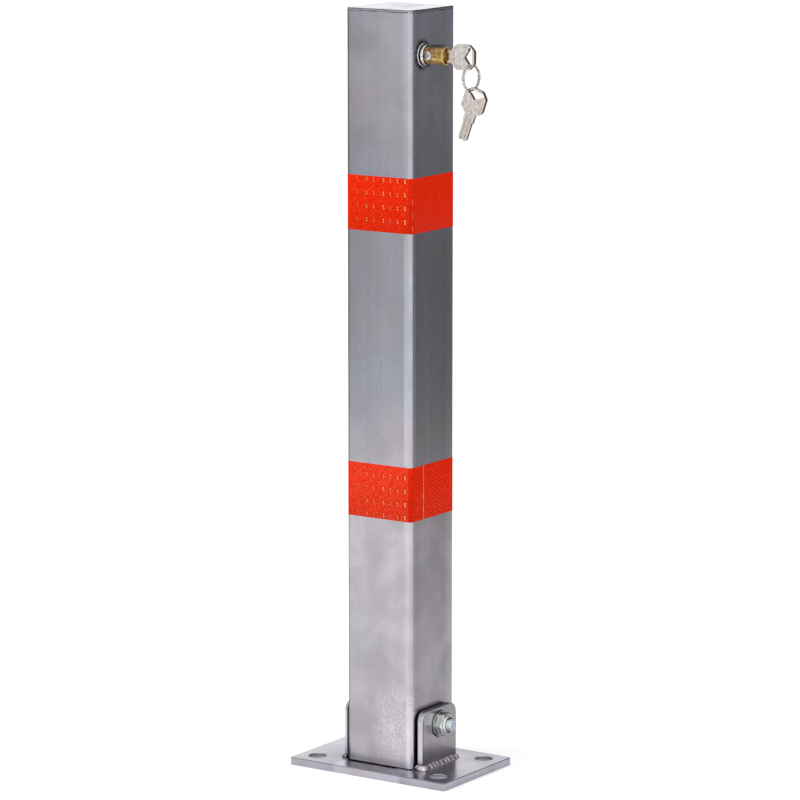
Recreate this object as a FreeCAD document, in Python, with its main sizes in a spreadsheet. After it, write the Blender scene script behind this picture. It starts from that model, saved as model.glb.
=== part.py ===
import FreeCAD, Part
import math
import os

import Sketcher
from FreeCAD import Placement, Rotation, Vector

# Folding parking bollard: a square steel post that hinges between two ears on
# a bolt-down plate and is locked upright by a rod worked by a plunger lock.
# Millimetres, +Z up, origin at the centre of the plate's underside.
# +X is the lock side, -Y the front, and the post folds back towards +Y.

# Dimensions
# name, millimetres or degrees, what it is
DIMENSIONS = [
    ("plate_length", 145, "base plate, X"),
    ("plate_width", 96, "base plate, Y"),
    ("plate_thickness", 6, "base plate, Z"),
    ("plate_corner", 1.5, "plate corner radius"),
    ("edge_round", 0.5, "worn round on plate and ear edges"),
    ("hole_chamfer", 0.4, "chamfer on the plate's holes"),
    ("anchor_half_x", 57, "anchor hole from the centre, X"),
    ("anchor_half_y", 32.5, "anchor hole from the centre, Y"),
    ("anchor_radius", 7, "anchor hole radius"),
    ("running", 0.1, "radial gap of a sliding or turning fit"),
    ("easy", 0.3, "radial gap where the rod enters the plate"),
    ("post_width", 60, "square tube across its flats"),
    ("post_wall", 2, "tube wall"),
    ("post_corner", 3, "tube outer corner radius"),
    ("post_top", 597, "top of the cap"),
    ("cap_thickness", 2, "flat cap"),
    ("cap_round", 0.7, "ground round on the cap's top edge"),
    ("cap_seam", 0.25, "groove between cap and tube"),
    ("foot_gap", 1, "tube foot above the plate, and its sweep when folding"),
    ("fold_margin", 1.5, "fold radius beyond the tube's half width"),
    ("ear_gap", 1.6, "tube side to ear"),
    ("ear_thickness", 5, "ear plate"),
    ("ear_width", 48, "ear plate, Y"),
    ("ear_over", 13, "ear above the pivot axis"),
    ("ear_corner", 8, "ear top corner radius"),
    ("weld_leg", 3.6, "fillet weld leg"),
    ("weld_over", 1.8, "weld run past each end of an ear"),
    ("bolt_radius", 5, "M10 pivot bolt"),
    ("bolt_stand", 3.5, "bolt end beyond the nut"),
    ("bolt_chamfer", 1.4, "bolt end chamfer"),
    ("hex_flats", 17, "hexagon across flats"),
    ("head_height", 6.4, "bolt head"),
    ("nut_height", 8, "locking nut with its collar"),
    ("nut_hexagon", 6, "hexagon of the locking nut"),
    ("collar_radius", 7.4, "collar of the locking nut"),
    ("collar_round", 1.2, "rolled edge of the nut's collar"),
    ("insert_radius", 6.2, "nylon ring in the nut's collar"),
    ("insert_depth", 1.8, "nylon ring, along the bolt"),
    ("insert_sink", 0.2, "nylon ring under the collar's edge"),
    ("washer_radius", 10, "washer"),
    ("washer_thickness", 1.6, "washer"),
    ("washer_play", 0.25, "washer round the bolt"),
    ("sleeve_radius", 8, "pivot sleeve welded through the tube"),
    ("band_height", 42.5, "reflective band"),
    ("band_thickness", 0.3, "reflective band"),
    ("band_drop", 170.3, "upper band's lower edge below the post's top"),
    ("band_lower", 202.9, "lower band's lower edge"),
    ("rod_pass", 1.8, "locking rod clear of the pivot sleeve"),
    ("lock_drop", 34.5, "lock axis below the post's top"),
    ("push_travel", 18, "barrel travel"),
    ("rod_travel", 6, "locking rod travel"),
    ("rod_radius", 5, "locking rod"),
    ("rod_chamfer", 1, "lead-in on the rod's end"),
    ("fork_over", 5, "rod's fork beyond the cross pin"),
    ("fork_play", 0.8, "fork below the tail"),
    ("cross_pin_radius", 1.5, "cross pin in the rod's fork"),
    ("tail_thickness", 3, "slotted tail plate"),
    ("tail_height", 13.2, "slotted tail plate"),
    ("tail_wall", 4.5, "tail beyond the cross pin"),
    ("guide_thickness", 3, "rod guide plate"),
    ("guide_margin", 7.8, "guide plate behind the rod"),
    ("guide_rise", 33.5, "lower guide above the pivot axis"),
    ("collar_drop", 34.5, "rod collar below the lock axis"),
    ("collar_thickness", 3, "rod collar"),
    ("spring_wire", 1.2, "rod spring wire diameter"),
    ("spring_radius", 6.8, "rod spring mean radius"),
    ("spring_length", 25, "rod spring between guide and collar"),
    ("barrel_radius", 6.8, "lock barrel"),
    ("barrel_inset", 6, "barrel's inner end behind the tube's face"),
    ("barrel_reach", 22, "barrel's outer end beyond the tube's face"),
    ("barrel_floor", 7.3, "solid rear of the barrel"),
    ("barrel_edge", 0.5, "chamfer on the barrel's outer end"),
    ("housing_radius", 8, "lock housing"),
    ("housing_depth", 20, "housing behind the tube's face"),
    ("flange_radius", 8.9, "housing flange"),
    ("flange_thickness", 2, "housing flange"),
    ("bezel_stand", 4.9, "bezel beyond the tube's face"),
    ("bezel_lip", 0.6, "bezel's flat front edge"),
    ("bezel_mouth", 1.2, "depth of the bezel's countersink"),
    ("clamp_wall", 1.5, "clamp nut round the housing, at its flats"),
    ("clamp_height", 4, "clamp nut"),
    ("plug_radius", 5.3, "lock plug"),
    ("plug_sink", 2, "plug face behind the barrel's end"),
    ("plug_play", 0.2, "plug end play in the barrel"),
    ("cam_radius", 4.6, "plug's eccentric neck"),
    ("cam_offset", 0.495, "neck centre off the axis, Y and Z"),
    ("latch_reach", 8.2, "latch pin axis beyond the tube's face"),
    ("latch_radius", 3.3, "latch pin"),
    ("latch_play", 0.055, "latch pin off the plug's neck"),
    ("latch_sink", 0.02, "latch crown under the barrel's skin"),
    ("key_entry", 14, "key tip behind the plug's face"),
    ("key_blade", 15, "key blade to the shoulder"),
    ("key_neck", 21, "key tip to the bow"),
    ("bow_length", 20.4, "key bow along the key"),
    ("bow_half", 9.8, "key bow, half its height"),
    ("bow_corner", 3, "key bow corner radius"),
    ("blade_half", 3.8, "half height of the blade"),
    ("blade_thickness", 2.3, "key blade"),
    ("bow_thickness", 3.2, "key bow with its raised border"),
    ("bow_recess", 0.4, "depth of the bow's panel"),
    ("eye_x", 37.9, "corner of the key's eye from the tip"),
    ("eye_z", 5.7, "corner of the key's eye off the key's axis"),
    ("ring_radius", 9.55, "key ring, centre line"),
    ("ring_wire", 0.68, "key ring wire radius"),
    ("ring_coil", 0.6, "key ring coil off the ring's middle plane"),
]
RING_YAW = -6.0  # degrees about +Z that the hanging ring is turned
SPARE_TILT = 20.0  # degrees that the spare key leans while it hangs
SPRING_TURNS = 5  # turns of the rod spring

doc = FreeCAD.newDocument("bollard")
sheet = doc.addObject("Spreadsheet::Sheet", "Sizes")


class Dim:
    """A number together with the spreadsheet formula that gives it."""

    def __init__(self, number, formula):
        self.number = float(number)
        self.formula = formula

    def join(self, other, sign, number):
        return Dim(number, f"({self.formula} {sign} {formula_of(other)})")

    def __add__(self, other):
        return self.join(other, "+", self.number + number_of(other))

    def __sub__(self, other):
        return self.join(other, "-", self.number - number_of(other))

    def __mul__(self, other):
        return self.join(other, "*", self.number * number_of(other))

    def __truediv__(self, other):
        return self.join(other, "/", self.number / number_of(other))

    def __neg__(self):
        return Dim(-self.number, f"(0 - {self.formula})")

    def __radd__(self, other):
        return Dim(number_of(other), formula_of(other)) + self

    def __rsub__(self, other):
        return Dim(number_of(other), formula_of(other)) - self


def number_of(value):
    return value.number if isinstance(value, Dim) else float(value)


def formula_of(value):
    return value.formula if isinstance(value, Dim) else repr(float(value))


class Sizes:
    """The spreadsheet's values by name."""


size = Sizes()
for row, (name, value, note) in enumerate(DIMENSIONS, start=1):
    sheet.set(f"A{row}", name)
    sheet.set(f"B{row}", str(value))
    sheet.set(f"C{row}", note)
    sheet.setAlias(f"B{row}", name)
    setattr(size, name, Dim(value, f"Sizes.{name}"))
doc.recompute()

# Values that several pieces share
plate_top = size.plate_thickness
post_half = size.post_width / 2
inner_half = post_half - size.post_wall
tube_foot = plate_top + size.foot_gap
cap_foot = size.post_top - size.cap_thickness
fold_radius = post_half + size.fold_margin
pivot_height = tube_foot + fold_radius
ear_inner = post_half + size.ear_gap
ear_outer = ear_inner + size.ear_thickness
ear_half = size.ear_width / 2
ear_top = pivot_height + size.ear_over
nut_seat = ear_outer + size.washer_thickness
nut_end = nut_seat + size.nut_height
insert_foot = nut_end - size.insert_sink - size.insert_depth
bolt_end = nut_end + size.bolt_stand
lock_y = -(size.sleeve_radius + size.rod_radius + size.rod_pass)
lock_z = size.post_top - size.lock_drop
slot_top = lock_z + size.rod_travel / 2
collar_foot = lock_z - size.collar_drop
guide_high = collar_foot - size.spring_length - size.guide_thickness
guide_low = pivot_height + size.guide_rise
band_upper = size.post_top - size.band_drop
housing_back = post_half - size.housing_depth
barrel_back = post_half - size.barrel_inset
barrel_front = post_half + size.barrel_reach
plug_front = barrel_front - size.plug_sink
latch_x = post_half + size.latch_reach
key_tip = plug_front - size.key_entry
finished = []


# Helpers
def bind(target, path, value):
    if isinstance(value, Dim):
        target.setExpression(path, value.formula)


def new_body(label):
    body = doc.addObject("PartDesign::Body", label)
    body.Label = label
    return body


def finish(piece, label, x=0.0, y=0.0, z=0.0, rotation=None):
    """Puts a piece at its place in the shared frame and lists it for export."""
    piece.Label = label
    turn = rotation if rotation is not None else Rotation()
    spot = Vector(number_of(x), number_of(y), number_of(z))
    piece.Placement = Placement(spot, turn)
    for axis, value in (("x", x), ("y", y), ("z", z)):
        bind(piece, f"Placement.Base.{axis}", value)
    finished.append(piece)
    return piece


def sketch_on(body, plane, offset=0.0):
    """A sketch on one of the body's own origin planes, shifted along its normal."""
    sketch = body.newObject("Sketcher::SketchObject", f"{body.Name}_sketch")
    support = next(f for f in body.Origin.OriginFeatures if f.Role == plane)
    sketch.AttachmentSupport = [(support, "")]
    sketch.MapMode = "FlatFace"
    sketch.AttachmentOffset = Placement(Vector(0, 0, number_of(offset)), Rotation())
    bind(sketch, "AttachmentOffset.Base.z", offset)
    return sketch


def pin(sketch, kind, geometry, point, value):
    """Fixes one coordinate of a sketch point, measured from the origin."""
    rule = Sketcher.Constraint(kind, -1, 1, geometry, point, number_of(value))
    index = sketch.addConstraint(rule)
    bind(sketch, f"Constraints[{index}]", value)


def polygon(sketch, corners):
    """Straight lines through the corners, closed, every corner pinned."""
    first = sketch.GeometryCount
    spots = [Vector(number_of(x), number_of(y), 0) for x, y in corners]
    count = len(spots)
    for i in range(count):
        sketch.addGeometry(Part.LineSegment(spots[i], spots[(i + 1) % count]), False)
    for i in range(count):
        join = Sketcher.Constraint("Coincident", first + i, 2, first + (i + 1) % count, 1)
        sketch.addConstraint(join)
    for i, (x, y) in enumerate(corners):
        pin(sketch, "DistanceX", first + i, 1, x)
        pin(sketch, "DistanceY", first + i, 1, y)


def rectangle(sketch, x0, x1, y0, y1):
    polygon(sketch, [(x0, y0), (x1, y0), (x1, y1), (x0, y1)])


def circle(sketch, x, y, radius):
    spot = Vector(number_of(x), number_of(y), 0)
    disc = Part.Circle(spot, Vector(0, 0, 1), number_of(radius))
    index = sketch.addGeometry(disc, False)
    pin(sketch, "DistanceX", index, 3, x)
    pin(sketch, "DistanceY", index, 3, y)
    rule = Sketcher.Constraint("Radius", index, number_of(radius))
    bind(sketch, f"Constraints[{sketch.addConstraint(rule)}]", radius)


def hexagon(sketch, flats, upright=False):
    """A hexagon round the origin, flats up and down, or to the sides when upright."""
    half = flats / 2
    corner = half * (2 / math.sqrt(3))
    corners = [
        (corner, 0.0),
        (corner / 2, half),
        (-(corner / 2), half),
        (-corner, 0.0),
        (-(corner / 2), -half),
        (corner / 2, -half),
    ]
    if upright:
        corners = [(-y, x) for x, y in corners]
    polygon(sketch, corners)


def pad(body, sketch, length, back=False, both=False):
    step = body.newObject("PartDesign::Pad", f"{body.Name}_pad")
    step.Profile = sketch
    step.Length = number_of(length)
    step.Reversed = back
    step.SideType = "Symmetric" if both else "One side"
    bind(step, "Length", length)
    doc.recompute()
    return step


def pocket(body, sketch, length, back=False, both=False):
    """A cut that has to take material away, or the direction is wrong."""
    before = body.Tip.Shape.Volume
    step = body.newObject("PartDesign::Pocket", f"{body.Name}_pocket")
    step.Profile = sketch
    step.Length = number_of(length)
    step.Reversed = back
    step.SideType = "Symmetric" if both else "One side"
    bind(step, "Length", length)
    doc.recompute()
    if step.Shape.Volume > before - 1e-6:
        raise RuntimeError(f"{step.Name} cuts nothing")
    return step


def revolve(body, sketch, axis):
    step = body.newObject("PartDesign::Revolution", f"{body.Name}_revolution")
    step.Profile = sketch
    step.ReferenceAxis = (sketch, [axis])
    step.Angle = 360
    doc.recompute()
    return step


def groove(body, sketch, axis):
    step = body.newObject("PartDesign::Groove", f"{body.Name}_groove")
    step.Profile = sketch
    step.ReferenceAxis = (sketch, [axis])
    step.Angle = 360
    doc.recompute()
    return step


def pick_edges(shape, test):
    return [f"Edge{i}" for i, edge in enumerate(shape.Edges, start=1) if test(edge)]


def soften(body, kind, amount, test):
    """A fillet or chamfer on the tip's edges that pass the test."""
    tip = body.Tip
    names = pick_edges(tip.Shape, test)
    if not names:
        raise RuntimeError(f"{body.Label}: no edge to soften")
    step = body.newObject(f"PartDesign::{kind}", f"{body.Name}_{kind.lower()}")
    step.Base = (tip, names)
    target = "Radius" if kind == "Fillet" else "Size"
    setattr(step, target, number_of(amount))
    bind(step, target, amount)
    doc.recompute()
    return step


def runs_along(edge, axis):
    """True for a straight edge parallel to the axis 0, 1 or 2."""
    if edge.Curve.TypeId != "Part::GeomLine":
        return False
    return abs(abs(edge.tangentAt(edge.FirstParameter)[axis]) - 1) < 1e-6


def lies_at(edge, axis, value):
    """True for an edge whose every point has this coordinate."""
    box = edge.BoundBox
    low = (box.XMin, box.YMin, box.ZMin)[axis]
    high = (box.XMax, box.YMax, box.ZMax)[axis]
    return abs(low - number_of(value)) < 1e-4 and abs(high - number_of(value)) < 1e-4


# Base plate
def make_base_plate():
    body = new_body("base_plate")
    half_x = size.plate_length / 2
    half_y = size.plate_width / 2
    outline = sketch_on(body, "XY_Plane")
    rectangle(outline, -half_x, half_x, -half_y, half_y)
    pad(body, outline, size.plate_thickness)
    soften(body, "Fillet", size.plate_corner, lambda e: runs_along(e, 2))
    soften(body, "Fillet", size.edge_round, lambda e: lies_at(e, 2, plate_top))
    holes = sketch_on(body, "XY_Plane")
    for x in (-size.anchor_half_x, size.anchor_half_x):
        for y in (-size.anchor_half_y, size.anchor_half_y):
            circle(holes, x, y, size.anchor_radius)
    circle(holes, 0.0, lock_y, size.rod_radius + size.easy)
    pocket(body, holes, size.plate_thickness, back=True)

    def hole_rim(edge):
        if edge.Curve.TypeId != "Part::GeomCircle" or not lies_at(edge, 2, plate_top):
            return False
        return edge.Curve.Radius > size.rod_radius.number / 2

    soften(body, "Chamfer", size.hole_chamfer, hole_rim)
    finish(body, "base_plate")


def make_ear(label, side):
    """An upright plate welded beside the tube; side is +1 or -1."""
    body = new_body(label)
    inner = ear_inner if side > 0 else -ear_inner
    outline = sketch_on(body, "YZ_Plane", inner)
    rectangle(outline, -ear_half, ear_half, plate_top, ear_top)
    pad(body, outline, size.ear_thickness, back=side < 0)

    def top_corner(edge):
        return runs_along(edge, 0) and abs(edge.CenterOfMass.z - ear_top.number) < 1e-4

    soften(body, "Fillet", size.ear_corner, top_corner)
    bore = sketch_on(body, "YZ_Plane", inner)
    circle(bore, 0.0, pivot_height, size.bolt_radius + size.running)
    pocket(body, bore, size.ear_thickness, back=side > 0)

    def border(edge):
        if lies_at(edge, 2, plate_top) or edge.CenterOfMass.z < plate_top.number + 1:
            return False
        if edge.Curve.TypeId == "Part::GeomCircle" and edge.Curve.Radius < size.bolt_radius.number + 1:
            return False
        return lies_at(edge, 0, inner) or lies_at(edge, 0, ear_outer * side)

    soften(body, "Fillet", size.edge_round, border)
    finish(body, label)


def make_weld(label, side):
    """The fillet weld along an ear's outer foot, a little convex."""
    body = new_body(label)
    face = ear_outer * side
    leg = size.weld_leg * side
    bead = sketch_on(body, "XZ_Plane")
    polygon(
        bead,
        [
            (face, plate_top),
            (face + leg, plate_top),
            (face + leg * 0.9, plate_top + size.weld_leg * 0.3),
            (face + leg * 0.62, plate_top + size.weld_leg * 0.65),
            (face + leg * 0.3, plate_top + size.weld_leg * 0.9),
            (face, plate_top + size.weld_leg),
        ],
    )
    pad(body, bead, size.ear_width + size.weld_over * 2, both=True)
    finish(body, label)


# Pivot hardware
def bevel_hexagon(body, face, outward):
    """The 30 degree turning on a hexagon's corners at the face x = face."""
    half = size.hex_flats / 2
    rim = half * 1.3
    drop = (rim - half) * math.tan(math.radians(30))
    edge = sketch_on(body, "XZ_Plane")
    polygon(edge, [(face, half - 0.2), (face, rim), (face - drop * outward, rim)])
    groove(body, edge, "H_Axis")


def make_pivot_bolt():
    body = new_body("pivot_bolt")
    seat = -nut_seat
    head = sketch_on(body, "YZ_Plane", seat)
    hexagon(head, size.hex_flats)
    pad(body, head, size.head_height, back=True)
    bevel_hexagon(body, seat - size.head_height, -1)
    shank = sketch_on(body, "YZ_Plane", seat)
    circle(shank, 0.0, 0.0, size.bolt_radius)
    pad(body, shank, bolt_end - seat)
    soften(body, "Chamfer", size.bolt_chamfer, lambda e: lies_at(e, 0, bolt_end))
    finish(body, "pivot_bolt", z=pivot_height)


def make_pivot_nut():
    """A locking nut: a hexagon with a rolled collar that holds a nylon ring."""
    body = new_body("pivot_nut")
    outline = sketch_on(body, "YZ_Plane", nut_seat)
    hexagon(outline, size.hex_flats)
    pad(body, outline, size.nut_hexagon)
    bevel_hexagon(body, nut_seat + size.nut_hexagon, 1)
    collar = sketch_on(body, "YZ_Plane", nut_seat + size.nut_hexagon)
    circle(collar, 0.0, 0.0, size.collar_radius)
    pad(body, collar, size.nut_height - size.nut_hexagon)

    def collar_rim(edge):
        return round_at(edge, size.collar_radius.number, nut_end.number)

    soften(body, "Fillet", size.collar_round, collar_rim)
    bore = sketch_on(body, "YZ_Plane", nut_seat)
    circle(bore, 0.0, 0.0, size.bolt_radius)
    pocket(body, bore, size.nut_height, back=True)
    seat = sketch_on(body, "YZ_Plane", insert_foot)
    circle(seat, 0.0, 0.0, size.insert_radius)
    pocket(body, seat, nut_end - insert_foot, back=True)
    finish(body, "pivot_nut", z=pivot_height)


def round_at(edge, radius, x):
    """True for a circle of this radius in the plane x."""
    if edge.Curve.TypeId != "Part::GeomCircle" or not lies_at(edge, 0, x):
        return False
    return abs(edge.Curve.Radius - radius) < 1e-4


def make_ring_plate(label, x, thickness, outer, bore, back=False):
    """A flat round ring across the X axis, for washers and sleeves."""
    body = new_body(label)
    outline = sketch_on(body, "YZ_Plane", x)
    circle(outline, 0.0, 0.0, outer)
    circle(outline, 0.0, 0.0, bore)
    pad(body, outline, thickness, back=back)
    finish(body, label, z=pivot_height)


# Post
def make_post_tube():
    body = new_body("post_tube")
    outline = sketch_on(body, "XY_Plane", tube_foot)
    rectangle(outline, -post_half, post_half, -post_half, post_half)
    pad(body, outline, cap_foot - tube_foot)
    soften(body, "Fillet", size.post_corner, lambda e: runs_along(e, 2))
    hollow = sketch_on(body, "XY_Plane", tube_foot)
    rectangle(hollow, -inner_half, inner_half, -inner_half, inner_half)
    pocket(body, hollow, cap_foot - tube_foot, back=True)

    def inner_corner(edge):
        spot = edge.CenterOfMass
        inside = abs(abs(spot.x) - inner_half.number) < 1e-4
        return runs_along(edge, 2) and inside and abs(abs(spot.x) - abs(spot.y)) < 1e-4

    soften(body, "Fillet", size.post_corner - size.post_wall, inner_corner)
    # The rear of the foot is rounded about the pivot so it clears the plate
    heel = sketch_on(body, "YZ_Plane")
    low = tube_foot - 2
    back_edge = fold_radius + 2
    rectangle(heel, 0.0, back_edge, low, pivot_height)
    heel_cut = pocket(body, heel, size.post_width + 4, both=True)
    disc = sketch_on(body, "YZ_Plane")
    foot_disc(disc)
    refill = pad(body, disc, size.post_width, both=True)
    core = sketch_on(body, "XY_Plane", tube_foot - 2)
    rectangle(core, -inner_half, inner_half, -inner_half, inner_half)
    pocket(body, core, pivot_height - tube_foot + 2, back=True)
    if not heel_cut.isValid() or not refill.isValid():
        raise RuntimeError("the foot of the tube failed")
    holes = sketch_on(body, "YZ_Plane")
    circle(holes, 0.0, pivot_height, size.sleeve_radius)
    pocket(body, holes, size.post_width + 4, both=True)
    lock_hole = sketch_on(body, "YZ_Plane", inner_half - 1)
    circle(lock_hole, lock_y, lock_z, size.housing_radius)
    pocket(body, lock_hole, size.post_wall + 2, back=True)
    finish(body, "post_tube")


def foot_disc(sketch):
    """The quarter disc left at the rear of the foot, cut off at the tube's back face."""
    centre = Vector(0, pivot_height.number, 0)
    radius = fold_radius.number
    back = post_half.number
    drop = math.sqrt(radius**2 - back**2)
    base = sketch.GeometryCount
    start = Vector(0, centre.y - radius, 0)
    end = Vector(back, centre.y - drop, 0)
    arc = Part.Arc(
        Part.Circle(centre, Vector(0, 0, 1), radius), -math.pi / 2, -math.asin(drop / radius)
    )
    sketch.addGeometry(arc, False)
    corner = Vector(back, centre.y, 0)
    sketch.addGeometry(Part.LineSegment(end, corner), False)
    sketch.addGeometry(Part.LineSegment(corner, centre), False)
    sketch.addGeometry(Part.LineSegment(centre, start), False)
    joins = [
        ("Coincident", base, 2, base + 1, 1),
        ("Coincident", base + 1, 2, base + 2, 1),
        ("Coincident", base + 2, 2, base + 3, 1),
        ("Coincident", base + 3, 2, base, 1),
        ("Coincident", base, 3, base + 3, 1),
        ("Vertical", base + 1),
        ("Horizontal", base + 2),
        ("Vertical", base + 3),
    ]
    for join in joins:
        sketch.addConstraint(Sketcher.Constraint(*join))
    pin(sketch, "DistanceX", base, 3, 0.0)
    pin(sketch, "DistanceY", base, 3, pivot_height)
    pin(sketch, "DistanceX", base + 1, 1, post_half)
    rule = sketch.addConstraint(Sketcher.Constraint("Radius", base, radius))
    bind(sketch, f"Constraints[{rule}]", fold_radius)


def make_top_cap():
    body = new_body("top_cap")
    outline = sketch_on(body, "XY_Plane", cap_foot)
    rectangle(outline, -post_half, post_half, -post_half, post_half)
    pad(body, outline, size.cap_thickness)
    soften(body, "Fillet", size.post_corner, lambda e: runs_along(e, 2))
    soften(body, "Fillet", size.cap_round, lambda e: lies_at(e, 2, size.post_top))
    soften(body, "Chamfer", size.cap_seam, lambda e: lies_at(e, 2, cap_foot))
    finish(body, "top_cap")


def make_band(label, foot):
    """A sheet of reflective tape wrapped round the tube."""
    body = new_body(label)
    outer = post_half + size.band_thickness
    outline = sketch_on(body, "XY_Plane", foot)
    rectangle(outline, -outer, outer, -outer, outer)
    pad(body, outline, size.band_height)
    hollow = sketch_on(body, "XY_Plane", foot)
    rectangle(hollow, -post_half, post_half, -post_half, post_half)
    pocket(body, hollow, size.band_height, back=True)

    def corner_at(distance):
        def test(edge):
            return runs_along(edge, 2) and abs(abs(edge.CenterOfMass.x) - number_of(distance)) < 1e-4

        return test

    soften(body, "Fillet", size.post_corner, corner_at(post_half))
    soften(body, "Fillet", size.post_corner + size.band_thickness, corner_at(outer))
    finish(body, label)


# Locking rod and guides
def make_guide(label, foot):
    """A plate across the tube that the locking rod slides through."""
    body = new_body(label)
    edge = inner_half - size.running
    outline = sketch_on(body, "XY_Plane", foot)
    rectangle(outline, -edge, edge, -edge, lock_y + size.rod_radius + size.guide_margin)
    pad(body, outline, size.guide_thickness)

    def wall_corner(e):
        return runs_along(e, 2) and abs(e.CenterOfMass.y + edge.number) < 1e-4

    soften(body, "Chamfer", 1.5, wall_corner)
    bore = sketch_on(body, "XY_Plane", foot)
    circle(bore, 0.0, lock_y, size.rod_radius + size.running)
    pocket(body, bore, size.guide_thickness, back=True)
    finish(body, label)


def make_locking_rod():
    body = new_body("locking_rod")
    top = slot_top + size.fork_over
    outline = sketch_on(body, "XY_Plane", tube_foot)
    circle(outline, 0.0, 0.0, size.rod_radius)
    pad(body, outline, top - tube_foot)
    soften(body, "Chamfer", size.rod_chamfer, lambda e: lies_at(e, 2, tube_foot))
    fork = sketch_on(body, "YZ_Plane")
    gap = size.tail_thickness / 2 + size.running
    rectangle(fork, -gap, gap, lock_z - size.tail_height / 2 - size.fork_play, top + 1)
    pocket(body, fork, size.rod_radius * 2 + 2, both=True)
    cross = sketch_on(body, "XZ_Plane")
    circle(cross, 0.0, slot_top, size.cross_pin_radius)
    pocket(body, cross, size.rod_radius * 2 + 2, both=True)
    finish(body, "locking_rod", y=lock_y)


def make_cross_pin():
    body = new_body("rod_cross_pin")
    outline = sketch_on(body, "XZ_Plane")
    circle(outline, 0.0, 0.0, size.cross_pin_radius)
    pad(body, outline, size.rod_radius * 2 - 0.8, both=True)
    finish(body, "rod_cross_pin", y=lock_y, z=slot_top)


def make_rod_collar():
    body = new_body("rod_collar")
    outline = sketch_on(body, "XY_Plane")
    circle(outline, 0.0, 0.0, size.spring_radius + size.spring_wire)
    circle(outline, 0.0, 0.0, size.rod_radius)
    pad(body, outline, size.collar_thickness)
    finish(body, "rod_collar", y=lock_y, z=collar_foot)


def make_rod_spring():
    """Half turns of wire, each tilted so that it climbs half a pitch and meets the next squarely."""
    foot = guide_high + size.guide_thickness + size.spring_wire / 2
    head = collar_foot - size.spring_wire / 2
    half_turns = 2 * SPRING_TURNS
    rise = (head - foot) / half_turns
    across, up = size.spring_radius, rise / 2
    reach = Dim(math.hypot(across.number, up.number), f"hypot({across.formula}; {up.formula})")
    tilt = math.degrees(math.atan2(up.number, across.number))
    turns = []
    for index in range(half_turns):
        turn = doc.addObject("Part::Torus", f"rod_spring_turn_{index + 1}")
        turn.Radius1 = reach.number
        turn.Radius2 = (size.spring_wire / 2).number
        turn.Angle1 = -180
        turn.Angle2 = 180
        turn.Angle3 = 180
        bind(turn, "Radius1", reach)
        bind(turn, "Radius2", size.spring_wire / 2)
        side = Rotation(Vector(0, 0, 1), 180 * (index % 2))
        turn.Placement = Placement(
            Vector(0, 0, rise.number * (index + 0.5)),
            side.multiply(Rotation(Vector(0, 1, 0), tilt)),
        )
        bind(turn, "Placement.Base.z", rise * (index + 0.5))
        turns.append(turn)
    coil = doc.addObject("Part::MultiFuse", "rod_lift_spring")
    coil.Shapes = turns
    doc.recompute()
    finish(coil, "rod_lift_spring", y=lock_y, z=foot)


# Lock
def make_lock_housing():
    body = new_body("lock_housing")
    bore = size.barrel_radius + size.running
    outer = size.housing_radius
    flange = size.flange_radius
    face = post_half
    groove_foot = face + size.flange_thickness + 0.1
    bezel = face + size.bezel_stand
    profile = sketch_on(body, "XZ_Plane")
    polygon(
        profile,
        [
            (housing_back, bore),
            (housing_back, outer - 0.4),
            (housing_back + 0.4, outer),
            (face, outer),
            (face, flange - 0.2),
            (face + 0.3, flange),
            (face + size.flange_thickness - 0.7, flange),
            (face + size.flange_thickness, flange - 0.6),
            (groove_foot, outer - 0.5),
            (groove_foot + 0.7, outer - 0.5),
            (groove_foot + 0.8, outer),
            (bezel - 1.5, outer - 0.05),
            (bezel - 0.5, outer - 0.2),
            (bezel, outer - 0.4),
            (bezel, outer - size.bezel_lip),
            (bezel - size.bezel_mouth, bore),
        ],
    )
    revolve(body, profile, "H_Axis")
    recess = sketch_on(body, "XZ_Plane")
    circle(recess, latch_x - size.push_travel, 0.0, size.latch_radius + 0.3)
    pocket(body, recess, outer + 2, back=True)
    finish(body, "lock_housing", y=lock_y, z=lock_z)


def make_housing_nut():
    """The clamp nut inside the tube wall."""
    body = new_body("housing_nut")
    outline = sketch_on(body, "YZ_Plane", inner_half)
    hexagon(outline, (size.housing_radius + size.clamp_wall) * 2, upright=True)
    circle(outline, 0.0, 0.0, size.housing_radius)
    pad(body, outline, size.clamp_height, back=True)
    finish(body, "housing_nut", y=lock_y, z=lock_z)


def make_lock_barrel():
    body = new_body("lock_barrel")
    back = barrel_back
    front = barrel_front
    radius = size.barrel_radius
    edge = size.barrel_edge
    bore = size.plug_radius + size.running / 2
    profile = sketch_on(body, "XZ_Plane")
    polygon(
        profile,
        [
            (back, 0.0),
            (back, radius - 0.4),
            (back + 0.4, radius),
            (front - edge, radius),
            (front, radius - edge),
            (front, bore + edge / 2),
            (front - edge / 2, bore),
            (back + size.barrel_floor, bore),
            (back + size.barrel_floor, 0.0),
        ],
    )
    revolve(body, profile, "H_Axis")
    side = sketch_on(body, "XZ_Plane")
    circle(side, latch_x, 0.0, size.latch_radius + size.running)
    pocket(body, side, radius + 2, back=True)
    finish(body, "lock_barrel", y=lock_y, z=lock_z)


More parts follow.
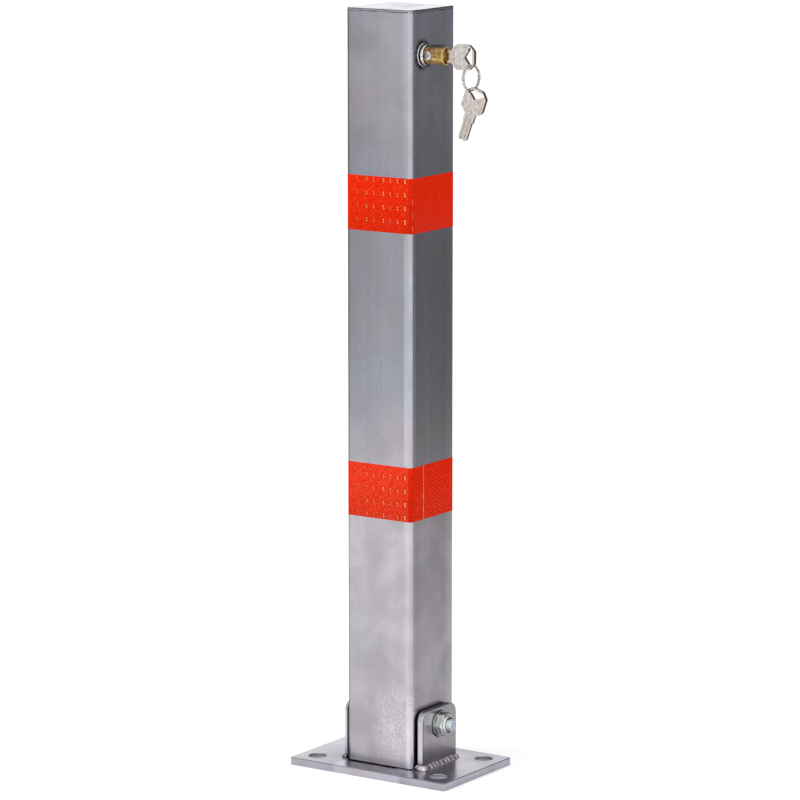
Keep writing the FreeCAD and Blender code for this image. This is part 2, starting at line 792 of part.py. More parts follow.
def make_barrel_tail():
    """The flat tail whose sloping slot drives the rod's cross pin."""
    body = new_body("barrel_tail")
    half = size.tail_height / 2
    reach = size.cross_pin_radius + size.running
    lift = size.rod_travel / 2
    outline = sketch_on(body, "XZ_Plane")
    rectangle(outline, -size.tail_wall, barrel_back, -half, half)
    pad(body, outline, size.tail_thickness, both=True)
    slope = math.atan2(size.rod_travel.number, size.push_travel.number)
    across = reach * math.sin(slope)
    up = reach * math.cos(slope)
    slot = sketch_on(body, "XZ_Plane")
    polygon(
        slot,
        [
            (across, lift + up),
            (size.push_travel + across, -lift + up),
            (size.push_travel - across, -lift - up),
            (-across, lift - up),
        ],
    )
    pocket(body, slot, size.tail_thickness + 2, both=True)
    for x, z in ((0.0, lift), (size.push_travel, -lift)):
        end = sketch_on(body, "XZ_Plane")
        circle(end, x, z, reach)
        pocket(body, end, size.tail_thickness + 2, both=True)
    finish(body, "barrel_tail", y=lock_y, z=lock_z)


def make_latch_pin():
    """A domed pin that the plug's neck pushes out of the barrel's side."""
    body = new_body("latch_pin")
    inner = size.cam_radius - size.cam_offset + size.latch_play
    crown = size.barrel_radius - size.latch_sink
    radius = size.latch_radius
    profile = sketch_on(body, "XY_Plane")
    polygon(
        profile,
        [
            (0.0, -inner),
            (radius, -inner),
            (radius, -(crown - 0.85)),
            (radius * 0.86, -(crown - 0.52)),
            (radius * 0.62, -(crown - 0.24)),
            (radius * 0.3, -crown),
            (radius * 0.22, -(crown - 0.05)),
            (radius * 0.2, -(crown - 0.6)),
            (0.0, -(crown - 0.8)),
        ],
    )
    revolve(body, profile, "V_Axis")
    finish(body, "latch_pin", x=latch_x, y=lock_y, z=lock_z)


def make_lock_plug():
    """The turning core, with an eccentric neck that works the latch pin."""
    body = new_body("lock_plug")
    neck_back = latch_x - size.latch_radius - 0.3
    neck_front = latch_x + size.latch_radius + 0.3
    rear = barrel_back + size.barrel_floor + size.plug_play
    tail = sketch_on(body, "YZ_Plane", rear)
    circle(tail, 0.0, 0.0, size.plug_radius)
    pad(body, tail, neck_back - rear)
    neck = sketch_on(body, "YZ_Plane", neck_back)
    circle(neck, size.cam_offset, size.cam_offset, size.cam_radius)
    pad(body, neck, neck_front - neck_back)
    nose = sketch_on(body, "YZ_Plane", neck_front)
    circle(nose, 0.0, 0.0, size.plug_radius)
    pad(body, nose, plug_front - neck_front)
    slot = sketch_on(body, "YZ_Plane", plug_front)
    half_y = size.blade_thickness / 2 + size.running
    half_z = size.blade_half + size.running
    rectangle(slot, -half_y, half_y, -half_z, half_z)
    pocket(body, slot, plug_front - key_tip + 0.5)
    finish(body, "lock_plug", y=lock_y, z=lock_z)


# Keys
def mirrored(points):
    """The points, then their mirror images in the key's axis in reverse."""
    return points + [(x, -z) for x, z in reversed(points)]


def make_key(label, x, y, z, rotation=None):
    """A flat key along +X from its tip, with a bow and a three-cornered eye."""
    body = new_body(label)
    neck = size.key_neck
    long = size.bow_length
    half_bow = size.bow_half
    bow = sketch_on(body, "XZ_Plane")
    corners = [
        (neck + long, half_bow * 0.5),
        (neck + long * 0.77, half_bow * 0.99),
        (neck + long * 0.212, half_bow),
        (neck, half_bow * 0.48),
    ]
    polygon(bow, mirrored(corners))
    pad(body, bow, size.bow_thickness, both=True)
    past_neck = neck.number + 1
    soften(body, "Fillet", size.bow_corner, lambda e: runs_along(e, 1) and e.CenterOfMass.x > past_neck)
    blade = sketch_on(body, "XZ_Plane")
    half = size.blade_half
    polygon(
        blade,
        mirrored(
            [
                (neck + 1, half_bow * 0.48),
                (size.key_blade, half_bow * 0.47),
                (size.key_blade, half),
                (1.2, half),
                (0.0, half - 1.0),
                (0.0, 1.0),
                (1.7, 0.7),
            ]
        ),
    )
    pad(body, blade, size.blade_thickness, both=True)
    panel_low = size.bow_thickness / 2 - size.bow_recess
    for back in (False, True):
        # A panel sunk in each face leaves the border and the eye's frame raised
        offset = -panel_low if back else panel_low
        panel = sketch_on(body, "XZ_Plane", offset)
        corners = [
            (neck + long * 0.496, half_bow * 0.092),
            (neck + long * 0.646, half_bow * 0.776),
            (neck + long * 0.248, half_bow * 0.837),
            (neck + long * 0.071, half_bow * 0.429),
        ]
        polygon(panel, mirrored(corners))
        pocket(body, panel, 2.0, back=not back)
        for z0 in (1.15, -2.25):
            # Track grooves run along both faces of the blade
            track = sketch_on(body, "XZ_Plane", -0.65 if back else 0.65)
            rectangle(track, -1.0, neck - 2.5, z0, z0 + 1.1)
            pocket(body, track, 2.0, back=not back)
    eye = sketch_on(body, "XZ_Plane")
    cx = size.eye_x
    cz = size.eye_z
    polygon(
        eye,
        mirrored(
            [
                (neck + long * 0.58, half_bow * 0.041),
                (cx - 1.66, cz - 0.55),
                (cx - 1.6, cz + 0.75),
                (cx - 0.75, cz + 1.6),
                (cx + 0.7, cz + 1.6),
                (cx + 1.6, cz + 0.8),
                (cx + 1.75, cz - 0.4),
                (cx + 1.75, 0.5),
            ]
        ),
    )
    pocket(body, eye, size.bow_thickness + 2, both=True)
    finish(body, label, x=x, y=y, z=z, rotation=rotation)


def make_key_ring(x, y, z):
    """Two turns of round wire side by side, closed up as one ring."""
    ring = doc.addObject("Part::MultiFuse", "key_ring")
    coils = []
    for sign in (-1, 1):
        coil = doc.addObject("Part::Torus", "key_ring_coil")
        coil.Radius1 = size.ring_radius.number
        coil.Radius2 = size.ring_wire.number
        bind(coil, "Radius1", size.ring_radius)
        bind(coil, "Radius2", size.ring_wire)
        coil.Placement = Placement(Vector(0, 0, sign * size.ring_coil.number), Rotation())
        bind(coil, "Placement.Base.z", size.ring_coil * sign)
        coils.append(coil)
    ring.Shapes = coils
    doc.recompute()
    upright = Rotation(Vector(0, 0, 1), RING_YAW) * Rotation(Vector(0, 1, 0), 90)
    finish(ring, "key_ring", x=x, y=y, z=z, rotation=upright)


def make_keys():
    make_key("key_in_lock", key_tip, lock_y, lock_z)
    eye_x = key_tip + size.eye_x
    ring_top = lock_z - size.eye_z
    make_key_ring(eye_x, lock_y, ring_top - size.ring_radius)
    lean = math.radians(SPARE_TILT)
    hang_x = size.eye_x * math.sin(lean) - size.eye_z * math.cos(lean)
    hang_z = size.eye_x * math.cos(lean) + size.eye_z * math.sin(lean)
    turned = Rotation(Vector(0, 1, 0), SPARE_TILT - 90)
    foot = ring_top - size.ring_radius * 2 - hang_z
    make_key("spare_key", eye_x - hang_x, lock_y, foot, turned)


# Assembly
make_base_plate()
make_ear("ear_right", 1)
make_ear("ear_left", -1)
make_weld("ear_weld_right", 1)
make_weld("ear_weld_left", -1)
make_pivot_bolt()
make_pivot_nut()
washer_bore = size.bolt_radius + size.washer_play
make_ring_plate("washer_right", ear_outer, size.washer_thickness, size.washer_radius, washer_bore)
make_ring_plate("washer_left", -ear_outer, size.washer_thickness, size.washer_radius, washer_bore, True)
make_ring_plate("nut_insert", insert_foot, size.insert_depth, size.insert_radius, size.bolt_radius)
sleeve_half = ear_inner - size.running
make_ring_plate(
    "pivot_sleeve",
    -sleeve_half,
    sleeve_half * 2,
    size.sleeve_radius,
    size.bolt_radius + size.running,
)
make_post_tube()
make_top_cap()
make_band("reflective_band_upper", band_upper)
make_band("reflective_band_lower", size.band_lower)
make_guide("rod_guide_lower", guide_low)
make_guide("rod_guide_upper", guide_high)
make_locking_rod()
make_cross_pin()
make_rod_collar()
make_rod_spring()
make_lock_housing()
make_housing_nut()
make_lock_barrel()
make_barrel_tail()
make_latch_pin()
make_lock_plug()
make_keys()
doc.recompute()

# Export
for item in doc.Objects:
    if "Invalid" in item.State or "Error" in item.State:
        raise RuntimeError(f"{item.Label} is {item.State}")
os.makedirs("parts", exist_ok=True)
for piece in finished:
    shape = piece.Shape
    if shape.isNull() or not shape.isValid():
        raise RuntimeError(f"{piece.Label} has a bad shape")
    shape.exportStep(os.path.join("parts", f"{piece.Label}.step"))
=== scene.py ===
from functools import partial, reduce
from math import atan2, cos, dist, pi, radians, sin, sqrt

import bmesh
import bpy
from bpy.props import FloatProperty, FloatVectorProperty, PointerProperty
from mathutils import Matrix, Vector, noise


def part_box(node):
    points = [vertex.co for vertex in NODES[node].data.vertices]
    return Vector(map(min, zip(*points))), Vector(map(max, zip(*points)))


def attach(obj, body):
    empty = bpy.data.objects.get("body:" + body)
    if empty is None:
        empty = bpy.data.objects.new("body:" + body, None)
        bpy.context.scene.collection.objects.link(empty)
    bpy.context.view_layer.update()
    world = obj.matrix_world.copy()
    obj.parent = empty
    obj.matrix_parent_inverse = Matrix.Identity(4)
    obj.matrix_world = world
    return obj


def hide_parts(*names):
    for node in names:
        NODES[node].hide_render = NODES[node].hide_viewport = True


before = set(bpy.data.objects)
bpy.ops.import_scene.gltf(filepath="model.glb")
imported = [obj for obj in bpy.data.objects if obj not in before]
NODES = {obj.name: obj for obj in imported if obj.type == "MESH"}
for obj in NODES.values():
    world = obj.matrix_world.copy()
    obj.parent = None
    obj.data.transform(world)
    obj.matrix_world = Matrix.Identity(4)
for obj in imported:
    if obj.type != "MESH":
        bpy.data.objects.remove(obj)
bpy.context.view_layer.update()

bl_info = {
    "name": "Folding parking bollard",
    "version": (1, 0, 0),
    "blender": (4, 5, 0),
    "location": "View3D > Sidebar > Bollard",
    "description": "Finishes a folding parking bollard: steel, tape, welds, bolt, lock, keys and stage",
    "category": "Object",
}

MM = 0.001
SMOOTH = {"interpolation_type": "SMOOTHSTEP"}


# Small tools
def box(node):
    """Low and high corner of a node of the frame, in millimetres."""
    return [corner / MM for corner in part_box(node)]


def linear(text):
    """An sRGB hex colour as linear RGBA."""
    parts = [int(text[i : i + 2], 16) / 255 for i in (1, 3, 5)]
    return tuple(p / 12.92 if p <= 0.04045 else ((p + 0.055) / 1.055) ** 2.4 for p in parts) + (1.0,)


def fill_in(node, values):
    """Gives a node's inputs, by name or place, their values or links; a node stands for its first output."""
    for place, value in values.items():
        if isinstance(value, bpy.types.Node):
            value = value.outputs[0]
        if isinstance(value, bpy.types.NodeSocket):
            node.id_data.links.new(value, node.inputs[place])
        else:
            node.inputs[place].default_value = value


def add_node(tree, kind, *values, **settings):
    """Adds a shader node with its settings and links.

    kind may end in the node's operation. values are its inputs in order, or one table of them.
    """
    kind, _, operation = kind.partition(" ")
    if operation:
        settings["operation"] = operation
    made = tree.nodes.new(f"ShaderNode{kind}")
    for name, value in settings.items():
        setattr(made, name, value)
    fill_in(made, values[0] if values and isinstance(values[0], dict) else dict(enumerate(values)))
    return made


def emptied(owner):
    """The node tree of a material or world, with no nodes."""
    owner.use_nodes = True
    owner.node_tree.nodes.clear()
    return owner.node_tree


def workbench(tree):
    """For one node tree: its own add_node, and the surface's position in millimetres."""
    add = partial(add_node, tree)
    return add, add("VectorMath MULTIPLY", add("TexCoord").outputs["Object"], (1000, 1000, 1000))


def new_material(name):
    """A material with only its shader, and its workbench."""
    material = bpy.data.materials.new(name)
    add, mm = workbench(emptied(material))
    shader = add("BsdfPrincipled")
    add("OutputMaterial", {"Surface": shader})
    return material, shader, add, mm


def joined(add, kind, *parts):
    """Several values joined two at a time by one kind of node."""
    return reduce(partial(add, kind), parts)


def distance(add, mm, centre, weights):
    """How far the surface lies from a centre, each axis counted by its weight."""
    off = add("VectorMath MULTIPLY", add("VectorMath SUBTRACT", mm, centre), weights)
    return add("VectorMath LENGTH", off).outputs["Value"]


def set_stops(ramp, stops):
    """Gives a colour ramp its stops, each a place and a colour."""
    elements = ramp.color_ramp.elements
    while len(elements) < len(stops):
        elements.new(0.5)
    for element, (place, colour) in zip(elements, stops):
        element.position = place
        element.color = colour


def facing(add):
    """X, Y and Z of the surface's normal."""
    return add("SeparateXYZ", add("TexCoord").outputs["Normal"]).outputs


def shaded_and_soiled(add, level, shade_and_dirt):
    """A brightness with painted shade and soiling laid over it."""
    return add("Math MULTIPLY", level, add("Math SUBTRACT", 1, shade_and_dirt))


def skin(rings):
    """Points and faces of a tube through rings of equal count; the last two faces cap its ends."""
    count = len(rings[0])
    points = [p for ring in rings for p in ring]
    last = len(points) - count
    faces = []
    for a in range(0, last, count):
        for j in range(count):
            k = (j + 1) % count
            faces.append((a + j, a + k, a + count + k, a + count + j))
    return points, [*faces, tuple(reversed(range(count))), tuple(range(last, last + count))]


def put(name, data):
    """An object of the scene that holds the data."""
    made = bpy.data.objects.new(name, data)
    bpy.context.scene.collection.objects.link(made)
    return made


def new_piece(name, points, faces, material, body, slot, stands_for=(), crease=35.0):
    """A mesh piece in millimetres that rides on a body of the frame, its faces looking outwards."""
    mesh = bpy.data.meshes.new(name)
    mesh.from_pydata([Vector(p) * MM for p in points], [], faces)
    mesh.validate()
    mesh.shade_smooth()
    mesh.set_sharp_from_angle(angle=radians(crease))
    mesh.materials.append(material)
    piece = put(name, mesh)
    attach(piece, body)
    if stands_for:
        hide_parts(*stands_for)
    build = bmesh.new()
    build.from_mesh(mesh)
    bmesh.ops.recalc_face_normals(build, faces=build.faces)
    build.to_mesh(mesh)
    build.free()
    return piece


def dress(material, *names):
    """Gives carried-over nodes their finish."""
    for name in names:
        NODES[name].material_slots[0].material = material


PIVOT = sum(corner.z for corner in box("pivot_bolt")) / 2
HALF = box("post_tube")[1].x


# Sizes and colours
length = partial(FloatProperty, unit="LENGTH")
tint = partial(FloatVectorProperty, subtype="COLOR", size=4, min=0, max=1)


class BollardSteel(bpy.types.PropertyGroup):
    cool: tint(name="Cool zinc", description="Bluish tone of the coat", default=linear("#b5b6c2"))
    warm: tint(name="Warm zinc", description="Brownish tone of the coat", default=linear("#b9b4ba"))
    cloud: length(name="Cloud", description="Width of a cloud in the coat", default=0.034, min=0.002)
    grain: length(name="Grain", description="Grain of the frosted patch", default=0.0011, min=0.0002)
    roughness: FloatProperty(
        name="Roughness", description="Roughness of the coat", default=0.27, min=0, max=1, subtype="FACTOR"
    )


class BollardTape(bpy.types.PropertyGroup):
    colour: tint(name="Red", description="Colour of the tape", default=linear("#d72504"))
    # Painted highlight: the colour of the glints painted where cells catch the light
    glint: tint(name="Glint", description="Colour of cells that catch the light", default=linear("#ffe3a4"))
    column: length(name="Column", description="Mean step between columns of glints", default=0.007, min=0.002)
    row: length(name="Row", description="Step between rows of glints", default=0.0104, min=0.002)
    hatch: length(name="Hatch", description="Width of one embossed diamond", default=0.0036, min=0.0005)
    thickness: length(name="Thickness", description="Thickness of one layer", default=0.00014, min=0.00005)
    overlap: length(name="Overlap", description="Length of the lap joint", default=0.012, min=0.002)


class BollardHardware(bpy.types.PropertyGroup):
    pitch: length(name="Thread pitch", description="Pitch of the bolt's thread", default=0.0015, min=0.0005)
    ripple: length(name="Weld ripple", description="Step between weld ripples", default=0.0052, min=0.001)
    ring_wire: length(name="Ring wire", description="Radius of the ring's wire", default=0.00062, min=0.0002)


class BollardStage(bpy.types.PropertyGroup):
    camera: FloatVectorProperty(
        name="Camera", description="Where it stands", subtype="TRANSLATION", default=(1.759, -2.6275, 0.8497)
    )
    heading: FloatProperty(
        name="Heading", description="Turn about the vertical", default=radians(33.808), subtype="ANGLE"
    )
    pitch: FloatProperty(
        name="Pitch", description="Tilt below the horizon", default=radians(10.009), subtype="ANGLE"
    )
    lens: FloatProperty(
        name="Lens", description="Focal length", default=186.15, min=10, subtype="DISTANCE_CAMERA"
    )
    floor: tint(name="Floor", description="Colour of the floor", default=linear("#e9e9e9"))
    sky: FloatProperty(name="Room light", description="Plain light from all round", default=0.55, min=0)
    key: FloatProperty(name="Key lamp", description="Power of the large front lamp", default=62.0, min=0)
    fill: FloatProperty(name="Overhead lamp", description="Power of the lamp above", default=20.0, min=0)
    side: FloatProperty(name="Side lamp", description="Power of the lock side's lamp", default=17.0, min=0)


# Finishes
def zinc_steel(name, stretch, marks, bow=0, bevel=0):
    """Cold-rolled steel with a thin bright zinc coat.

    Drawing or rolling leaves faint lines one way, given by stretch; the bath leaves soft clouds
    in a cool and a warm tone. marks adds a piece's own wear and its painted light and shade, bow tilts
    the normals of a tube whose walls curl towards its corners, and bevel is the round that wear leaves on
    sheared edges in millimetres.
    """
    look = bpy.context.scene.bollard_steel
    material, shader, add, mm = new_material(name)
    lines = add("VectorMath MULTIPLY", mm, stretch)
    wide = MM / look.cloud
    cloud = add("TexNoise", {"Vector": mm, "Scale": wide, "Detail": 3, "Distortion": 0.4})
    tone = add("TexNoise", {"Vector": mm, "W": 4, "Scale": 0.55 * wide}, noise_dimensions="4D")
    # Real drawing lines are tenths of a millimetre apart; sets of 2 mm and 11 mm are what shows
    drawn = add("TexNoise", {"Vector": lines, "Scale": 0.5, "Detail": 4})
    broad = add("TexNoise", {"Vector": lines, "Scale": 0.09, "Detail": 1})
    share = add("MapRange", tone, 0.38, 0.62, **SMOOTH)
    if bow:
        # A tube's coat grows warmer towards its foot
        low = add("MapRange", add("SeparateXYZ", mm).outputs[2], 310, 240, 0, 0.6)
        share = add("Math ADD", share, low, use_clamp=True)
    base = add("Mix", {0: share, 6: look.cool[:], 7: look.warm[:]}, data_type="RGBA").outputs[2]
    level = add("MapRange", cloud, 0.3, 0.7, 0.89, 1.08, **SMOOTH)
    for source, low, high in ((drawn, 0.975, 1.02), (broad, 0.955, 1.035)):
        level = add("Math MULTIPLY", level, add("MapRange", source, 0.3, 0.7, low, high))
    level, height, metal = marks(add, mm, level, drawn)
    rough = add("MapRange", cloud, 0.3, 0.7, look.roughness + 0.01, look.roughness - 0.08)
    relief = {"Strength": 0.14, "Distance": 0.00005, "Height": height}
    if bevel:
        relief["Normal"] = add("Bevel", {"Radius": bevel * MM}, samples=6)
    if bow:
        place = add("VectorMath MULTIPLY", mm, (1 / HALF, 1 / HALF, 0))
        square = add("VectorMath MULTIPLY", place, place)
        steep = add("VectorMath MULTIPLY", square, square)
        steep = add("VectorMath MULTIPLY_ADD", steep, (bow,) * 3, (bow / 8,) * 3)
        bulge = add("VectorMath MULTIPLY_ADD", place, steep, add("TexCoord").outputs["Normal"])
        turned = add("VectorTransform", bulge, vector_type="NORMAL", convert_from="OBJECT")
        relief["Normal"] = add("VectorMath NORMALIZE", turned)
    fill_in(shader, {
        "Base Color": add("VectorMath SCALE", {0: base, "Scale": level}),
        "Roughness": add("Math MULTIPLY_ADD", drawn, 0.08, rough),
        "Metallic": metal,
        "Normal": add("Bump", relief),
        # Dirt and painted shade stay dark at a glancing view too
        "Specular Tint": level,
    })
    return material


def tube_marks(add, mm, level, height):
    """Frost low on the front, a grimy seam under the cap, a painted shadow round the lock, painted highlights
    by the near corner, and bands of painted light and shade down the lock side and the left.
    """
    # Frost: bright grain in a soft ragged patch by the near corner, coarser than the real one's
    # tenths of a millimetre so that it shows
    away = distance(add, mm, (15, -30, 44), (1 / 20, 1 / 25, 1 / 31))
    ragged = add("TexNoise", {"Vector": mm, "Scale": 0.09, "Detail": 3})
    frost = add("MapRange", add("Math MULTIPLY_ADD", ragged, 0.9, away), 1.65, 0.95, **SMOOTH)
    grain = MM / bpy.context.scene.bollard_steel.grain
    chance = add("SeparateColor", add("TexVoronoi", {"Vector": mm, "Scale": grain}).outputs["Color"])
    spark = add("Math MULTIPLY", add("MapRange", chance, 0.2, 0.95, 0.08, 0.42), frost)
    level = add("Math ADD", level, spark)
    height = add("Math MULTIPLY_ADD", spark, 4, height)
    # Painted highlight: a strip beside the near corner is painted bright, most between the tapes, and so is
    # the corner's foot
    x, y, z = add("SeparateXYZ", mm).outputs
    corner = add("Math SUBTRACT", x, y)
    inner = add("MapRange", corner, 52.3, 55.2, **SMOOTH)
    outer = add("MapRange", corner, 55.5, 57.5, 1, 0.25, **SMOOTH)
    upper = add("MapRange", z, 450, 400, 0.12, 0.38, **SMOOTH)
    lower = add("MapRange", z, 290, 200, 0, 0.28, **SMOOTH)
    painted_highlight = add("Math SUBTRACT", upper, lower)
    level = add("Math MULTIPLY_ADD", add("Math MULTIPLY", inner, outer), painted_highlight, level)
    round_edge = add("MapRange", corner, 54.5, 57, **SMOOTH)
    for start, end, more in ((240, 180, 0.13), (75, 45, 0.28)):
        painted_highlight = add("MapRange", z, start, end, 0, more, **SMOOTH)
        level = add("Math MULTIPLY_ADD", round_edge, painted_highlight, level)
    # Grime in the seam under the cap, and a painted shadow round the lock's bezel
    wear_and_shade = add("TexNoise", {"Vector": mm, "Scale": 0.16, "Detail": 3})
    seam = add("Math COMPARE", z, box("top_cap")[0].z, 0.45)
    seam = add("Math MULTIPLY", seam, add("MapRange", wear_and_shade, 0.3, 0.6, 0.1, 0.7, **SMOOTH))
    axis = sum(box("lock_barrel"), Vector()) / 2
    ring = distance(add, mm, axis, (0, 1, 1))
    uneven = add("MapRange", wear_and_shade, 0.3, 0.55, 0.4, 1, **SMOOTH)
    lock_shadow = add("Math MULTIPLY", add("MapRange", ring, 13.5, 9.4, 0, 0.8, **SMOOTH), uneven)
    # Two streaks of painted shadow run back from the bezel, over and under the barrel, sloping a little
    slope = 0.068
    slanted = add("Math MULTIPLY_ADD", y, slope, z)
    for above, start, end in ((6.4, 2, 36), (-8.3, 3, 13)):
        off = add("Math SUBTRACT", slanted, axis.z + above + slope * axis.y)
        streak = add("MapRange", add("Math ABSOLUTE", off), 1.5, 0.5, 0, 0.75, **SMOOTH)
        first = add("MapRange", y, axis.y + start - 1, axis.y + start + 1)
        last = add("MapRange", y, axis.y + end * 0.6, axis.y + end, 1, 0)
        lock_shadow = add("Math MAXIMUM", lock_shadow, joined(add, "Math MULTIPLY", streak, first, last, uneven))
    lock_side = add("Math GREATER_THAN", x, 25)
    lock_shadow = add("Math MULTIPLY", lock_shadow, lock_side)
    level = shaded_and_soiled(add, level, add("Math MAXIMUM", lock_shadow, seam))
    # Bands of painted light and shade: the lock side is darker beside the near corner and lighter
    # towards the back, with a dark line along its rear corner, and the left corners are darker, a little less
    # low down
    side = add("Math GREATER_THAN", facing(add)[0], 0.4)
    painted_bands = joined(
        add,
        "Math ADD",
        add("MapRange", y, -25, -12, -0.14, 0, **SMOOTH),
        add("MapRange", y, 14, 27, 0, 0.2, **SMOOTH),
        add("MapRange", y, 28.6, 29.3, 0, -0.4, **SMOOTH),
    )
    edge = add("MapRange", x, -30.2, -25.8, -0.6, 0, **SMOOTH)
    edge = add("Math MULTIPLY", edge, add("MapRange", z, 120, 300, 0.8, 1))
    painted_bands = add("Math MULTIPLY_ADD", painted_bands, side, edge)
    return add("Math ADD", level, painted_bands), height, 1


def cap_marks(add, mm, level, height):
    """A painted dark line of shade round the cap's top edge, darker on the lock side."""
    x, _, up = facing(add)
    top = box("top_cap")[1].z
    line = add("MapRange", add("SeparateXYZ", mm).outputs[2], top - 1.1, top - 0.7)
    slope = add("MapRange", up, 0.9, 0.6)
    wear_and_shade = add("TexNoise", {"Vector": mm, "Scale": 0.11, "Detail": 2})
    depth = add("MapRange", wear_and_shade, 0.35, 0.65, 0.35, 0.75)
    depth = add("Math MULTIPLY_ADD", x, 0.35, depth, use_clamp=True)
    return shaded_and_soiled(add, level, joined(add, "Math MULTIPLY", line, slope, depth)), height, 1


def ear_marks(add, mm, level, height):
    """Sheared edges painted bright as highlights, painted shade on the face beside them and a painted shadow
    round the washers.
    """
    across, _, up = facing(add)
    flat = add("Math GREATER_THAN", add("Math ABSOLUTE", across), 0.8)
    x, y, _ = add("SeparateXYZ", mm).outputs
    front = box("ear_right")[0].y
    # Painted shade: a dark line on the face beside the front edge, and a painted shadow round the washers
    line = add("MapRange", y, front + 2.4, front + 0.6, 0, 0.45, **SMOOTH)
    ring = distance(add, mm, (0, 0, PIVOT), (0, 1, 1))
    wear_and_shade = add("MapRange", ring, 11.6, 10.2, 0, 0.7, **SMOOTH)
    level = shaded_and_soiled(add, level, add("Math MULTIPLY", add("Math MAXIMUM", line, wear_and_shade), flat))
    # Painted highlight: the sheared edges are painted bright
    level = add("Math ADD", level, add("MapRange", flat, 0, 1, 0.42, 0))
    # Painted reflection: the edges that face up are painted darker
    level = add("Math MULTIPLY", level, add("MapRange", up, 0.8, 0.92, 1, 0.62, **SMOOTH))
    # Painted shade in the narrow gaps beside the post and on the edges next to them
    off = add("Math ABSOLUTE", add("Math ADD", x, 1.05))
    near = add("MapRange", off, 33.05, 33.65, 0.94, 0, **SMOOTH)
    edge = add("MapRange", y, front + 1, front + 3, 1, 0)
    level = shaded_and_soiled(add, level, add("Math MULTIPLY", near, edge))
    # Painted shade where the surface lies closed in
    open_sky = add("AmbientOcclusion", {"Distance": 3 * MM}, samples=6).outputs["AO"]
    gap = add("MapRange", open_sky, 0.4, 0.75, 0.35, 1)
    return add("Math MULTIPLY", level, gap), height, 1


def plate_marks(add, mm, level, height):
    """Dull sheared edges with a dark burr line, pale hole walls, a painted shadow round and under the post,
    and painted light at the left, at the rear and in front of the post.
    """
    up = facing(add)[2]
    wall = add("MapRange", add("Math ABSOLUTE", up), 0.7, 0.4)
    x, y, z = add("SeparateXYZ", mm).outputs
    far_x, far_y = (add("Math ABSOLUTE", value) for value in (x, y))
    high = box("base_plate")[1]
    rim = 4
    inner = (add("Math LESS_THAN", far_x, high.x - rim), add("Math LESS_THAN", far_y, high.y - rim))
    hole = joined(add, "Math MULTIPLY", wall, *inner)
    edge = add("Math SUBTRACT", wall, hole)
    burr = add("MapRange", z, high.z - 0.9, high.z - 0.3, 0, 0.6)
    level = shaded_and_soiled(add, level, add("Math MULTIPLY", edge, burr))
    pale = add("MapRange", z, high.z - 2.6, high.z - 0.3, 0.12, -0.5)
    level = add("Math MULTIPLY_ADD", hole, pale, level)
    # Painted shadow: a dark line round the post's foot, and painted shade under it, lighter towards the open
    # rear
    post = HALF - 0.6
    under = add("Math MAXIMUM", far_x, far_y)
    shade = add("MapRange", under, post + 0.7, post + 0.3, 0, 0.8)
    shade_beneath = add("MapRange", under, post - 6, post - 4.5, 0.55, 1)
    open_rear = add("MapRange", y, 21, 24, 1, 0.4)
    level = shaded_and_soiled(add, level, joined(add, "Math MULTIPLY", shade, shade_beneath, open_rear))
    # Painted light: the sheet is painted brighter at the left, at the rear and in front of the post
    near = add("MapRange", under, post + 0.5, post + 1.5, 0, 0.28)
    front = add("MapRange", y, -post, -post - 1)
    beside = add("MapRange", far_x, 33, 29)
    near = joined(add, "Math MULTIPLY", near, front, beside)
    left = add("MapRange", x, -80, -25, 0.19, 0)
    rear = add("MapRange", y, -40, 30, -0.05, 0.07)
    level = joined(add, "Math ADD", level, near, left, rear)
    return level, height, add("Math MULTIPLY_ADD", hole, -0.5, 1)


def plain_metal(
    name, tones, roughness, patch_mm, feed=0, relief=0.2, shade_and_grime=0, shade_and_dirt="#2b2622", bevel=0, metallic=1
):
    """A bare or plated metal, or a plastic: two close tones, patches of wear and fine scratches.

    feed is the spacing of the lathe's lines along X, shade_and_grime how far painted shade and dirt
    reach out of a corner and bevel the round of the edges, all in millimetres.
    """
    material, shader, add, mm = new_material(name)
    patch = add("TexNoise", {"Vector": mm, "Scale": 1 / patch_mm, "Detail": 4, "Roughness": 0.6})
    fine = add("TexNoise", {"Vector": mm, "Scale": 5 / patch_mm, "Detail": 5, "Roughness": 0.7})
    light, dark = (linear(tone) for tone in tones)
    share = add("MapRange", patch, 0.32, 0.68)
    base = add("Mix", {0: share, 6: light, 7: dark}, data_type="RGBA").outputs[2]
    height = fine
    if feed:
        # A lathe's real lines are about 0.1 mm apart, too fine to show, so feed is coarser
        waves = {"Vector": mm, "Scale": 1 / feed / 3.14, "Distortion": 0.6}
        line = add("TexWave", waves | {"Detail": 1, "Detail Scale": 0.4}).outputs[1]
        height = add("Math MULTIPLY_ADD", line, 0.9, fine)
        shade = add("MapRange", line, 0, 1, 0.88, 1.06)
        base = add("VectorMath SCALE", {0: base, "Scale": shade}).outputs[0]
    if shade_and_grime:
        # Painted shade and dirt where the surface lies closed in
        open_sky = add("AmbientOcclusion", {"Distance": shade_and_grime * MM}, samples=6).outputs["AO"]
        shade_and_filth = add("MapRange", open_sky, 0.75, 0.3, 0, 0.85)
        base = add("Mix", {0: shade_and_filth, 6: base, 7: linear(shade_and_dirt)}, data_type="RGBA").outputs[2]
    relief = {"Strength": relief, "Distance": 0.00004, "Height": height}
    if bevel:
        relief["Normal"] = add("Bevel", {"Radius": bevel * MM}, samples=6)
    fill_in(shader, {
        "Base Color": base,
        "Roughness": add("MapRange", fine, 0.3, 0.7, roughness * 0.8, roughness * 1.2),
        "Normal": add("Bump", relief),
        "Metallic": metallic,
    })
    return material


